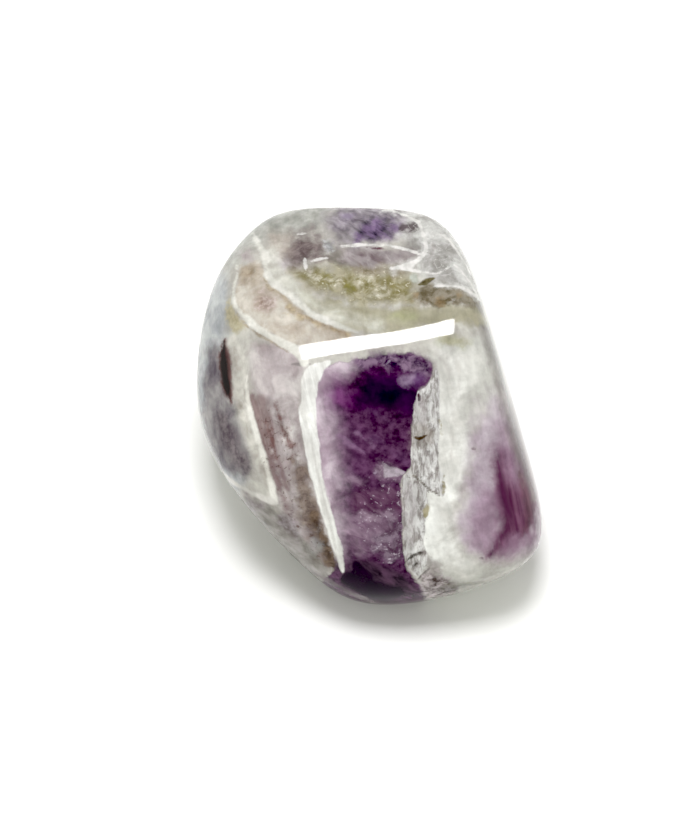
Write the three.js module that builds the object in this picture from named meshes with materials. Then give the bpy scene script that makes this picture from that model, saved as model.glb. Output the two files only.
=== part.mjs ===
// A tumbled amethyst: one pebble of banded quartz, worn to soft faces and polished all over.
// Millimetres, +Z up. The stone lies on the flattest of its hidden faces.
import * as THREE from 'three';
import { mergeVertices } from 'three/addons/utils/BufferGeometryUtils.js';

// The stone's own frame has x across it, y along it and z out of its broad front face.
// The stone lies tipped up by this angle, so that the front face looks up and forward.
const TIP = THREE.MathUtils.degToRad(30);

// How crisply two worn faces meet. A low number gives an egg, a high one a cut gem.
const CRISPNESS = 14;

// The seat is the flat that the stone rests on. Wear takes this much off its lowest point.
const SEAT_WEAR = 0.25;
// The seat's rim is rounded over this height on each side of its plane.
const SEAT_RIM = 0.12;

// Rows of triangles along each edge of the starting icosahedron.
const FINENESS = 17;

const CRYSTAL_COLOUR = 0x9b86a0;
const POLISH_ROUGHNESS = 0.12;

// Where the seat looks in the own frame: straight down once the stone is tipped.
const SEAT = { around: 270, rise: -60 };

// The worn faces. around is the angle in the xy plane from +x, rise is the angle from that
// plane toward +z, both in degrees, and reach is the distance from the stone's middle to the
// plane of the face. Together they make a rounded solid that leans out at its lower right.
const WORN_FACES = [
  // Narrow side faces, which make the outline
  { name: 'right side', around: 16, rise: 4, reach: 10.4 },
  { name: 'upper right shoulder', around: 43, rise: 4, reach: 13.8 },
  { name: 'top end', around: 90, rise: 0, reach: 15.8 },
  { name: 'upper left shoulder', around: 135, rise: 4, reach: 16.0 },
  { name: 'upper left side', around: 164, rise: 4, reach: 14.7 },
  { name: 'left side', around: 184, rise: 2, reach: 13.5 },
  { name: 'lower left side', around: 206, rise: 4, reach: 12.8 },
  { name: 'lower left slope', around: 225, rise: 0, reach: 12.2 },
  { name: 'bottom end', around: 267, rise: 3, reach: 15.3 },
  { name: 'bottom right', around: 291, rise: 2, reach: 15.9 },
  { name: 'lower right corner', around: 328, rise: 0, reach: 17.4 },
  // Broad faces that look up
  { name: 'front, upper part', around: 300, rise: 87, reach: 9.2 },
  { name: 'front, lower part', around: 285, rise: 76, reach: 9.9 },
  { name: 'crown', around: 98, rise: 52, reach: 10.6 },
  { name: 'left flank', around: 178, rise: 38, reach: 11.9 },
  { name: 'lower left flank', around: 235, rise: 45, reach: 11.8 },
  { name: 'foot', around: 272, rise: 45, reach: 13.4 },
  { name: 'right flank', around: 5, rise: 42, reach: 11.9 },
  // Faces on the underside
  { name: 'seat', around: SEAT.around, rise: SEAT.rise, reach: 9.3 },
  { name: 'back', around: 80, rise: -40, reach: 11.6 },
  { name: 'back left', around: 160, rise: -40, reach: 11.6 },
  { name: 'back right', around: 15, rise: -40, reach: 11.0 },
  { name: 'back lower left', around: 225, rise: -35, reach: 11.4 },
  { name: 'back lower right', around: 320, rise: -35, reach: 14.0 },
];

// Broad shallow hollows left by tumbling. spread is the angle, seen from the stone's middle,
// over which a hollow fades. A negative depth is a swelling.
const HOLLOWS = [
  { name: 'crown hollow', around: 80, rise: 40, spread: 13, depth: 0.15 },
  { name: 'left flank hollow', around: 192, rise: 34, spread: 11, depth: 0.18 },
  { name: 'lower flank hollow', around: 238, rise: 38, spread: 11, depth: 0.15 },
  { name: 'right flank hollow', around: 355, rise: 22, spread: 13, depth: 0.12 },
  { name: 'back hollow', around: 85, rise: -28, spread: 15, depth: 0.3 },
  { name: 'back left hollow', around: 170, rise: -28, spread: 14, depth: 0.25 },
  { name: 'back right swelling', around: 28, rise: -28, spread: 14, depth: -0.2 },
  { name: 'back corner hollow', around: 322, rise: -25, spread: 12, depth: 0.2 },
];

// The unit vector at an angle around the stone and a rise toward its front face.
function directionOf({ around, rise }) {
  const polar = THREE.MathUtils.degToRad(90 - rise);
  const turn = THREE.MathUtils.degToRad(around);
  return new THREE.Vector3(
    Math.sin(polar) * Math.cos(turn),
    Math.sin(polar) * Math.sin(turn),
    Math.cos(polar),
  );
}

const faces = WORN_FACES.map((face) => ({ outward: directionOf(face), reach: face.reach }));
const hollows = HOLLOWS.map((hollow) => ({ ...hollow, centre: directionOf(hollow) }));

// The distance from the stone's middle to its worn surface. With an endless crispness the
// nearest face plane would count alone; a finite one lets neighbouring planes round each other.
function wornRadius(direction) {
  let sum = 0;
  for (const face of faces) {
    const closeness = Math.max(0, direction.dot(face.outward)) / face.reach;
    sum += closeness ** CRISPNESS;
  }
  return sum ** (-1 / CRISPNESS);
}

// How far the hollows draw the surface in along a direction.
function hollowDepth(direction) {
  let depth = 0;
  for (const hollow of hollows) {
    const away = THREE.MathUtils.radToDeg(direction.angleTo(hollow.centre));
    depth += hollow.depth * Math.exp(-((away / hollow.spread) ** 2));
  }
  return depth;
}

// A height above the seat's plane is brought down to the plane, with a rounded rim.
function seatHeight(height) {
  if (height <= -SEAT_RIM) {
    return height;
  }
  if (height >= SEAT_RIM) {
    return 0;
  }
  return -((SEAT_RIM - height) ** 2) / (4 * SEAT_RIM);
}

// One closed skin: a sphere of triangles, each corner drawn out to the worn surface.
function stoneGeometry() {
  const sphere = new THREE.IcosahedronGeometry(1, FINENESS);
  sphere.deleteAttribute('normal');
  sphere.deleteAttribute('uv');
  const skin = mergeVertices(sphere);
  const corners = skin.getAttribute('position');
  const down = directionOf(SEAT);
  const point = new THREE.Vector3();
  let lowest = 0;
  for (let i = 0; i < corners.count; i += 1) {
    point.fromBufferAttribute(corners, i).normalize();
    point.multiplyScalar(wornRadius(point) - hollowDepth(point));
    corners.setXYZ(i, point.x, point.y, point.z);
    lowest = Math.max(lowest, point.dot(down));
  }
  const seatPlane = lowest - SEAT_WEAR;
  for (let i = 0; i < corners.count; i += 1) {
    point.fromBufferAttribute(corners, i);
    const height = point.dot(down) - seatPlane;
    point.addScaledVector(down, seatHeight(height) - height);
    corners.setXYZ(i, point.x, point.y, point.z);
  }
  skin.computeVertexNormals();
  return skin;
}

const crystal = new THREE.MeshStandardMaterial({
  color: CRYSTAL_COLOUR,
  roughness: POLISH_ROUGHNESS,
  metalness: 0,
});

const stone = new THREE.Mesh(stoneGeometry(), crystal);
stone.name = 'tumbled_amethyst';
stone.rotation.x = TIP;

// The origin is under the middle of the stone, on the surface that it lies on.
const extent = new THREE.Box3().setFromObject(stone, true);
const middle = extent.getCenter(new THREE.Vector3());
stone.position.set(-middle.x, -middle.y, -extent.min.z);

const specimen = new THREE.Group();
specimen.add(stone);

export default specimen;
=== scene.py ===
"""Tumbled amethyst: a polished pebble of banded quartz on a pale studio floor.

The stone's own frame, in millimetres, has x across the stone, y along it and z out of its
broad front face. The stone lies tipped up, so that this face looks up and forward. Bands,
crystal and cracks are drawn in that frame as seen square on to the face.
"""

import logging
import math
from collections.abc import Callable
from dataclasses import dataclass
from enum import Enum
from typing import ClassVar

import bpy
import numpy as np
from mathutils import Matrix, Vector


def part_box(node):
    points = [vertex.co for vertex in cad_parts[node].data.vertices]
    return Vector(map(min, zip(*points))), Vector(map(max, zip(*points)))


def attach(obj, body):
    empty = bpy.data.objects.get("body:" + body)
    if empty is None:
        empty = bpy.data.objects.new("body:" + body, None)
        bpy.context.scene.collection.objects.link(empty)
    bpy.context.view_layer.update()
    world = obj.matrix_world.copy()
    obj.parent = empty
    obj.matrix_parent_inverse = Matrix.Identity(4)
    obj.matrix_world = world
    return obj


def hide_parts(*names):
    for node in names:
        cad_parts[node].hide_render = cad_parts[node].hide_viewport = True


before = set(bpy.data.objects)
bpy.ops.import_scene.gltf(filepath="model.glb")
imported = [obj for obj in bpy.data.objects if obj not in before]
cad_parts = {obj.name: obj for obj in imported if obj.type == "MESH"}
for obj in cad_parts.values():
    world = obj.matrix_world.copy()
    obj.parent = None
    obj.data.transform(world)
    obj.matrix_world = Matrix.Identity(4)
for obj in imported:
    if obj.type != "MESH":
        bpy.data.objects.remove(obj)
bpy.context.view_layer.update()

NODE = "tumbled_amethyst"
MM = 0.001

log = logging.getLogger("amethyst")

# The stone lies tipped up by this angle, and the camera looks square on to its front face.
TIP = math.radians(30)
# How far the camera stands from the stone's middle, in millimetres.
SIGHT = 258.1


class Bench:
    """A node tree to which nodes are added."""

    def __init__(self, tree: bpy.types.NodeTree) -> None:
        """Keep the shader or geometry tree to build in."""
        self.tree = tree

    @classmethod
    def cleared(cls, owner: bpy.types.Material | bpy.types.World) -> "Bench":
        """Empty the tree of a material or world.

        Args:
            owner: The material or world.

        Returns:
            A bench for its tree.
        """
        owner.use_nodes = True
        owner.node_tree.nodes.clear()
        return cls(owner.node_tree)

    def node(
        self, kind: str, settings: dict | None = None, inputs: dict | None = None
    ) -> bpy.types.Node:
        """Add one node.

        Args:
            kind: The node's type name.
            settings: Properties to set first, such as an operation.
            inputs: A value, number or link for each input socket, by name or index.

        Returns:
            The new node.
        """
        made = self.tree.nodes.new(kind)
        for name, setting in (settings or {}).items():
            setattr(made, name, setting)
        for name, given in (inputs or {}).items():
            given = getattr(given, "socket", given)
            if isinstance(given, bpy.types.NodeSocket):
                self.tree.links.new(given, made.inputs[name])
            else:
                made.inputs[name].default_value = given
        return made

    def value(self, *given: object) -> "Value":
        """Add a node and wrap its first output, which is a number."""
        return Value(self, self.node(*given).outputs[0])

    def vec(self, *given: object) -> "Vec":
        """Add a node and wrap its first output, which is a vector or colour."""
        return Vec(self, self.node(*given).outputs[0])

    def noise(
        self, place: "Vec", scale: float, detail: float, rough: float, swirl: float = 0.0
    ) -> "Value":
        """Add a noise texture.

        Args:
            place: Where the noise is read.
            scale: Its waves for each millimetre.
            detail: Its finer octaves.
            rough: Their strength.
            swirl: How much it is distorted.

        Returns:
            A number about 0.5.
        """
        inputs = {"Scale": scale, "Detail": detail, "Roughness": rough, "Distortion": swirl}
        return self.value("ShaderNodeTexNoise", {}, {"Vector": place} | inputs)

    def mix(self, amount: object, first: object, second: object) -> "Vec":
        """Mix two colours.

        Args:
            amount: How much of the second one, from 0 to 1.
            first: A colour.
            second: The other colour.

        Returns:
            The mixed colour.
        """
        # The sockets for colours go by number, because their names are used twice.
        inputs = {0: amount, 6: first, 7: second}
        made = self.node("ShaderNodeMix", {"data_type": "RGBA"}, inputs)
        return Vec(self, made.outputs[2])


def arithmetic(operation: str, reflected: bool = False) -> Callable[..., "Value"]:
    """Make a method of Value that adds one Math node of two inputs.

    Args:
        operation: The node's operation.
        reflected: Whether the other number comes first.

    Returns:
        The method, which takes the other number.
    """

    def method(self: "Value", other: object) -> "Value":
        """Return the result for this value and another value or number."""
        pair = (other, self) if reflected else (self, other)
        return self.maths(operation, *pair)

    return method


@dataclass(frozen=True)
class Value:
    """A number that varies over the stone, with arithmetic that adds Math nodes."""

    bench: Bench
    socket: bpy.types.NodeSocket

    __add__ = arithmetic("ADD")
    __radd__ = arithmetic("ADD", reflected=True)
    __sub__ = arithmetic("SUBTRACT")
    __rsub__ = arithmetic("SUBTRACT", reflected=True)
    __mul__ = arithmetic("MULTIPLY")
    __rmul__ = arithmetic("MULTIPLY", reflected=True)
    __truediv__ = arithmetic("DIVIDE")
    __rtruediv__ = arithmetic("DIVIDE", reflected=True)
    __pow__ = arithmetic("POWER")
    at_least = arithmetic("MAXIMUM")
    at_most = arithmetic("MINIMUM")

    def maths(self, operation: str, *given: object) -> "Value":
        """Add one Math node.

        Args:
            operation: The node's operation.
            given: Its inputs in order.

        Returns:
            The result.
        """
        inputs = dict(enumerate(given))
        return self.bench.value("ShaderNodeMath", {"operation": operation}, inputs)

    def __neg__(self) -> "Value":
        """Return the opposite."""
        return self * -1.0

    def __abs__(self) -> "Value":
        """Return the size without its sign."""
        return self.maths("ABSOLUTE", self)

    def scaled_onto(self, factor: float, base: object) -> "Value":
        """Return this times a factor, added to a base."""
        return self.maths("MULTIPLY_ADD", self, factor, base)

    def ramp(self, low: float, high: float, top: float = 1.0) -> "Value":
        """Rise smoothly from 0 to a top.

        Args:
            low: Where the rise begins.
            high: Where it ends.
            top: What it rises to.

        Returns:
            The eased value.
        """
        return self.bench.value(
            "ShaderNodeMapRange",
            {"interpolation_type": "SMOOTHSTEP", "clamp": False},
            {"Value": self, "From Min": low, "From Max": high, "To Max": top},
        )


@dataclass(frozen=True)
class Vec:
    """A direction, place or colour that varies over the stone."""

    bench: Bench
    socket: bpy.types.NodeSocket

    def maths(self, operation: str, inputs: dict | None = None) -> bpy.types.Node:
        """Add one Vector Math node.

        Args:
            operation: The node's operation.
            inputs: Its inputs beyond this vector, by name or index.

        Returns:
            The node.
        """
        given = {0: self} | (inputs or {})
        return self.bench.node("ShaderNodeVectorMath", {"operation": operation}, given)

    def __add__(self, other: object) -> "Vec":
        """Return the sum."""
        return Vec(self.bench, self.maths("ADD", {1: other}).outputs[0])

    def __mul__(self, other: object) -> "Vec":
        """Return this, longer or shorter."""
        return Vec(self.bench, self.maths("SCALE", {"Scale": other}).outputs[0])

    def dot(self, other: object) -> Value:
        """Return the dot product."""
        return Value(self.bench, self.maths("DOT_PRODUCT", {1: other}).outputs["Value"])

    def unit(self) -> "Vec":
        """Return the same direction with length 1."""
        return Vec(self.bench, self.maths("NORMALIZE").outputs[0])

    def tangent(self) -> "Vec":
        """Return the tangent of each part."""
        return Vec(self.bench, self.maths("TANGENT").outputs[0])


@dataclass(frozen=True)
class Worn:
    """A part of the stone's skin that tumbling has shaped, seen from the stone's middle.

    around is the angle in the own frame's xy plane from +x, and rise is the angle from that
    plane toward +z, both in degrees.
    """

    name: str
    around: float
    rise: float

    @property
    def outward(self) -> np.ndarray:
        """Turn its two angles into a direction.

        Returns:
            The unit vector toward it.
        """
        turn, lift = math.radians(self.around), math.radians(self.rise)
        flat = math.cos(lift)
        return np.array((flat * math.cos(turn), flat * math.sin(turn), math.sin(lift)))


@dataclass(frozen=True)
class WornFace(Worn):
    """A face whose plane lies at its reach from the stone's middle, in millimetres."""

    reach: float


@dataclass(frozen=True)
class Hollow(Worn):
    """A broad shallow hollow, or a swelling where its depth is negative.

    spread is the angle in degrees over which it fades, and depth is in millimetres.
    """

    spread: float
    depth: float


SEAT = WornFace("seat", 270, -60, 9.3)

WORN_FACES = (
    WornFace("right side", 16, 4, 10.4),
    WornFace("upper right shoulder", 43, 4, 13.8),
    WornFace("top end", 90, 0, 15.8),
    WornFace("upper left shoulder", 135, 4, 16.0),
    WornFace("upper left side", 164, 4, 14.7),
    WornFace("left side", 184, 2, 13.5),
    WornFace("lower left side", 206, 4, 12.8),
    WornFace("lower left slope", 225, 0, 12.2),
    WornFace("bottom end", 267, 3, 15.3),
    WornFace("bottom right", 291, 2, 15.9),
    WornFace("lower right corner", 328, 0, 17.4),
    WornFace("front, upper part", 300, 87, 9.2),
    WornFace("front, lower part", 285, 76, 9.9),
    WornFace("crown", 98, 52, 10.6),
    WornFace("left flank", 178, 38, 11.9),
    WornFace("lower left flank", 235, 45, 11.8),
    WornFace("foot", 272, 45, 13.4),
    WornFace("right flank", 5, 42, 11.9),
    SEAT,
    WornFace("back", 80, -40, 11.6),
    WornFace("back left", 160, -40, 11.6),
    WornFace("back right", 15, -40, 11.0),
    WornFace("back lower left", 225, -35, 11.4),
    WornFace("back lower right", 320, -35, 14.0),
)

HOLLOWS = (
    Hollow("crown hollow", 80, 40, 13, 0.15),
    Hollow("left flank hollow", 192, 34, 11, 0.18),
    Hollow("lower flank hollow", 238, 38, 11, 0.15),
    Hollow("right flank hollow", 355, 22, 13, 0.12),
    Hollow("back hollow", 85, -28, 15, 0.3),
    Hollow("back left hollow", 170, -28, 14, 0.25),
    Hollow("back right swelling", 28, -28, 14, -0.2),
    Hollow("back corner hollow", 322, -25, 12, 0.2),
)


@dataclass
class WornForm:
    """The stone's skin, made by Geometry Nodes from its worn faces and hollows.

    A cube of squares is blown out to a ball, and each point is drawn to the surface that
    the worn faces make together. A higher crispness gives sharper meetings of the faces.
    """

    squares: int = 124
    crispness: float = 14.0
    seat_wear: float = 0.25
    seat_rim: float = 0.12
    ripple: float = 0.012
    ripple_scale: float = 2.0
    seed: float = 7.0

    def sizes(self) -> dict[str, tuple[str, float]]:
        """Name the tree's inputs.

        Returns:
            The socket type and value of each one, by name.
        """
        number = "NodeSocketFloat"
        return {
            "Rows": ("NodeSocketInt", self.squares + 1),
            "Crispness": (number, self.crispness),
            "Seat Wear": (number, self.seat_wear),
            "Seat Rim": (number, self.seat_rim),
            "Ripple": (number, self.ripple),
            "Ripple Scale": (number, self.ripple_scale),
            "Seed": (number, self.seed),
        }

    def tree(self, finish: bpy.types.Material) -> bpy.types.NodeTree:
        """Build the geometry tree.

        Args:
            finish: The material that the skin wears.

        Returns:
            The tree, whose sizes are named inputs.
        """
        tree = bpy.data.node_groups.new("worn_stone", "GeometryNodeTree")
        face = tree.interface
        face.new_socket(name="Skin", in_out="OUTPUT", socket_type="NodeSocketGeometry")
        for name, (kind, _) in self.sizes().items():
            face.new_socket(name=name, in_out="INPUT", socket_type=kind)
        bench = Bench(tree)
        given = bench.node("NodeGroupInput").outputs
        size = {name: Value(bench, given[name]) for name in self.sizes()}

        rows = {f"Vertices {axis}": size["Rows"] for axis in "XYZ"}
        cube = bench.node("GeometryNodeMeshCube", {}, {"Size": (2, 2, 2)} | rows)
        # The tangent spreads the cube's squares evenly over the ball.
        place = bench.vec("GeometryNodeInputPosition")
        direction = (place * (math.pi / 4)).tangent().unit()
        worn = direction * self.radius(bench, direction, size)
        skin = cube
        for kind, inputs in (
            ("SetPosition", {"Position": self.seated(bench, cube.outputs[0], worn, size)}),
            ("Transform", {"Rotation": (TIP, 0, 0), "Scale": (MM, MM, MM)}),
            ("SetShadeSmooth", {}),
            ("RealizeInstances", {}),
            ("SetMaterial", {"Material": finish}),
        ):
            inputs = {"Geometry": skin.outputs[0]} | inputs
            skin = bench.node(f"GeometryNode{kind}", {}, inputs)
        bench.node("NodeGroupOutput", {}, {"Skin": skin.outputs[0]})
        return tree

    def radius(self, bench: Bench, direction: Vec, size: dict[str, Value]) -> Value:
        """Give the distance from the stone's middle to its skin.

        Args:
            bench: The tree in hand.
            direction: The unit direction of each point.
            size: The tree's named inputs.

        Returns:
            The distance in millimetres.
        """
        crisp = size["Crispness"]
        terms = [
            direction.dot(tuple(face.outward / face.reach)).at_least(0.0) ** crisp
            for face in WORN_FACES
        ]
        reach = sum(terms[1:], terms[0]) ** (-1.0 / crisp)
        for hollow in HOLLOWS:
            near = direction.dot(tuple(hollow.outward)).at_most(1.0)
            away = near.maths("ARCCOSINE", near) * (math.degrees(1) / hollow.spread)
            fade = away.maths("EXPONENT", -(away * away))
            reach = reach - fade * hollow.depth
        read = {"Vector": direction, "W": size["Seed"], "Scale": size["Ripple Scale"]}
        noise = bench.value(
            "ShaderNodeTexNoise", {"noise_dimensions": "4D"}, read | {"Detail": 1.0}
        )
        return reach + (noise - 0.5) * size["Ripple"] * 2.0

    def seated(
        self, bench: Bench, cube: bpy.types.NodeSocket, worn: Vec, size: dict[str, Value]
    ) -> Vec:
        """Wear the flat that the stone rests on, with a softened rim.

        Args:
            bench: The tree in hand.
            cube: The geometry whose points are placed.
            worn: Where the points lie so far.
            size: The tree's named inputs.

        Returns:
            Where they lie with the flat worn.
        """
        down = tuple(SEAT.outward)
        height = worn.dot(down)
        deepest = bench.node(
            "GeometryNodeAttributeStatistic", {}, {"Geometry": cube, "Attribute": height}
        )
        rim = size["Seat Rim"]
        over = height - (Value(bench, deepest.outputs["Max"]) - size["Seat Wear"])
        # Within the rim a parabola joins the worn slope to the flat.
        near = over.at_least(-rim).at_most(rim)
        level = over.at_most(-rim) + rim - (rim - near) * (rim - near) / (rim * 4.0)
        axis = bench.vec("ShaderNodeCombineXYZ", {}, dict(enumerate(down)))
        return worn + axis * (level - over)

    def mesh(self, finish: bpy.types.Material) -> bpy.types.Mesh:
        """Run the tree once and keep its result as a plain mesh.

        Args:
            finish: The material that the skin wears.

        Returns:
            The skin in metres, laid as it rests, about the stone's own middle.
        """
        tree = self.tree(finish)
        blank = bpy.data.objects.new("worn_form", bpy.data.meshes.new("blank"))
        bpy.context.scene.collection.objects.link(blank)
        maker = blank.modifiers.new("worn_stone", "NODES")
        maker.node_group = tree
        sizes = self.sizes()
        for item in tree.interface.items_tree:
            if item.in_out == "INPUT":
                maker[item.identifier] = sizes[item.name][1]
        depsgraph = bpy.context.evaluated_depsgraph_get()
        worn = blank.evaluated_get(depsgraph)
        skin = bpy.data.meshes.new_from_object(worn, depsgraph=depsgraph)
        bpy.data.objects.remove(blank)
        skin.materials.clear()
        skin.materials.append(finish)
        skin.polygons.foreach_set("material_index", [0] * len(skin.polygons))
        return skin


@dataclass(frozen=True)
class Weave:
    """A fine pattern: noise that is eased from 0 at its low to 1 at its high.

    size draws it out along the axes, in millimetres, and turn turns it about z, in radians.
    A ridged weave shows only thin lines, where the noise passes its middle.
    """

    scale: float
    detail: float
    rough: float
    swirl: float
    low: float
    high: float
    turn: float = 0.0
    size: tuple[float, float, float] | None = None
    ridged: bool = False

    def woven(self, bench: Bench, own: Vec) -> Value:
        """Add the pattern's nodes.

        Args:
            bench: The tree in hand.
            own: The place in the stone's own frame.

        Returns:
            The pattern, from 0 to 1.
        """
        if self.size:
            drawn_out = {"Rotation": (0.0, 0.0, self.turn), "Scale": self.size}
            settings = {"vector_type": "TEXTURE"}
            own = bench.vec("ShaderNodeMapping", settings, {"Vector": own} | drawn_out)
        noise = bench.noise(own, self.scale, self.detail, self.rough, self.swirl)
        if self.ridged:
            return 1.0 - abs(noise - 0.5).ramp(self.low, self.high)
        return noise.ramp(self.low, self.high)


class Figure(Enum):
    """The fine patterns that vary a tone between its two shades."""

    CLOUD = Weave(0.5, 6.0, 0.56, 0.3, 0.3, 0.7)
    GRAIN = Weave(1.8, 5.0, 0.6, 0.0, 0.3, 0.7)
    STREAK = Weave(1.0, 5.0, 0.56, 0.3, 0.28, 0.72, turn=0.22, size=(0.42, 3.2, 1.8))
    WISP = Weave(1.0, 6.0, 0.56, 0.5, 0.3, 0.7, turn=-0.67, size=(1.5, 0.65, 1.0))
    FLECK = Weave(1.2, 6.0, 0.64, 0.4, 0.36, 0.64)
    FROST = Weave(1.0, 6.0, 0.64, 0.4, 0.34, 0.66, size=(0.32, 1.0, 0.6))
    SPECK = Weave(3.2, 4.0, 0.6, 0.4, 0.59, 0.68)
    THREAD = Weave(0.8, 4.0, 0.5, 0.6, 0.0, 0.022, ridged=True)


class Side(Enum):
    """How far a drawn form runs through the stone."""

    FRONT = "front"
    THROUGH = "through"
    BACK = "back"


@dataclass(frozen=True)
class Tone:
    """A colour of the quartz, and how its border looks.

    The two shades are as seen under the studio light. edge is the softness of the border,
    and wander is how far fine noise moves it, both in millimetres. A sparse tone shows only
    where its figure does.
    """

    pale: str
    deep: str
    figure: Figure = Figure.CLOUD
    edge: float = 0.2
    wander: float = 0.1
    strength: float = 1.0
    sparse: bool = False


# How much a drawn form that runs through the stone is shifted for each millimetre of depth.
LEAN = np.array((0.22, -0.12))
# How far past edge-on the front forms reach, and how fast they end there in millimetres.
PAST_EDGE = 0.1
EDGE_FALL = 5.0
# Beyond this distance from a form, in millimetres, nothing is measured.
NEAR = 3.5
# Corners are rounded by cutting this share off both ends of each line, this many times.
CORNER = 0.25
CUTS = 2


@dataclass(frozen=True)
class Form:
    """A form drawn square on to the front face, in millimetres from the stone's middle."""

    points: tuple[tuple[float, ...], ...]
    side: Side = Side.FRONT
    sharp: bool = False

    closed: ClassVar[bool] = True

    def eased(self) -> np.ndarray:
        """Round the corners, unless the form is sharp.

        Returns:
            The rounded line's points, one row each.
        """
        line = np.array(self.points, float)
        for _ in range(0 if self.sharp else CUTS):
            after = np.roll(line, -1, axis=0) if self.closed else line[1:]
            before = line if self.closed else line[:-1]
            pair = [(1 - share) * before + share * after for share in (CORNER, 1 - CORNER)]
            cut = np.stack(pair, 1).reshape(-1, line.shape[1])
            line = cut if self.closed else np.vstack([line[:1], cut, line[-1:]])
        return line

    def measured(self, line: np.ndarray, drawn: np.ndarray) -> np.ndarray:
        """Measure how far inside the form each point lies.

        Args:
            line: The form's eased points.
            drawn: Points on the drawing, one row each.

        Returns:
            Millimetres inside the border, negative outside it.
        """
        raise NotImplementedError

    def depth(self, own: np.ndarray) -> np.ndarray:
        """Measure how far inside the form each point of the stone's skin lies.

        Args:
            own: One row for each point: its place in the stone's own frame, and how
                squarely the skin there faces the front.

        Returns:
            Millimetres inside the border, negative outside it.
        """
        z, facing = own[:, 2], own[:, 3]
        drawn = own[:, :2] * (SIGHT / (SIGHT - z))[:, None]
        if self.side is not Side.FRONT:
            drawn = drawn + LEAN * np.maximum(0, -z)[:, None]
        line = self.eased()
        low, high = line[:, :2].min(0) - NEAR, line[:, :2].max(0) + NEAR
        close = ((drawn > low) & (drawn < high)).all(1)
        inside = np.full(len(own), -NEAR)
        inside[close] = np.maximum(-NEAR, self.measured(line, drawn[close]))
        if self.side is Side.FRONT:
            inside = np.minimum(inside, (facing + PAST_EDGE) * EDGE_FALL)
        if self.side is Side.BACK:
            inside = np.minimum(inside, (-facing - PAST_EDGE) * EDGE_FALL)
        return inside


def feet(
    start: np.ndarray, end: np.ndarray, drawn: np.ndarray
) -> tuple[np.ndarray, np.ndarray]:
    """Find the nearest place on a line to each point.

    Args:
        start: Where the line starts.
        end: Where it ends.
        drawn: The points, one row each.

    Returns:
        The share of the line that lies before that place, and the distance to it.
    """
    along = end - start
    # The tiny floor keeps a line without length from dividing by zero.
    share = np.clip((drawn - start) @ along / max(along @ along, 1e-12), 0, 1)
    return share, np.linalg.norm(drawn - (start + share[:, None] * along), axis=1)


class Patch(Form):
    """A closed area."""

    def measured(self, line: np.ndarray, drawn: np.ndarray) -> np.ndarray:
        """Measure how far inside the area each point lies.

        Args:
            line: The area's eased points.
            drawn: Points on the drawing, one row each.

        Returns:
            Millimetres inside the border, negative outside it.
        """
        nearest = np.full(len(drawn), np.inf)
        within = np.zeros(len(drawn), bool)
        for start, end in zip(line, np.roll(line, -1, axis=0)):
            nearest = np.minimum(nearest, feet(start, end, drawn)[1])
            if start[1] != end[1]:
                crosses = (drawn[:, 1] < start[1]) != (drawn[:, 1] < end[1])
                level = (drawn[:, 1] - start[1]) / (end[1] - start[1])
                within ^= crosses & (drawn[:, 0] < start[0] + level * (end - start)[0])
        return np.where(within, nearest, -nearest)


class Vein(Form):
    """A line of varying width, whose points give x, y and half the width."""

    closed = False

    def measured(self, line: np.ndarray, drawn: np.ndarray) -> np.ndarray:
        """Measure how far inside the line's width each point lies.

        Args:
            line: The line's eased points.
            drawn: Points on the drawing, one row each.

        Returns:
            Millimetres inside the border, negative outside it.
        """
        best = np.full(len(drawn), -np.inf)
        for start, end in zip(line[:-1], line[1:]):
            share, away = feet(start[:2], end[:2], drawn)
            best = np.maximum(best, start[2] + share * (end[2] - start[2]) - away)
        return best


@dataclass(frozen=True)
class Layer:
    """Forms of one tone that are laid over the layers before.

    sink is how deep the polished skin dips over them, in millimetres, matt is how much
    rougher they are than the polish, and within names an earlier layer that bounds them.
    """

    name: str
    tone: Tone
    forms: tuple[Form, ...]
    sink: float = 0.0
    matt: float = 0.0
    within: str = ""

    def depth(self, own: np.ndarray) -> np.ndarray:
        """Measure how far inside its nearest form each point lies.

        Args:
            own: The points, as for a form.

        Returns:
            Millimetres inside the border, negative outside it.
        """
        return np.maximum.reduce([form.depth(own) for form in self.forms])


F, S = Figure, Side

# The milky quartz under all the layers.
MILK = Tone("#d0cdc6", "#b9b5af", F.CLOUD)

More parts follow.
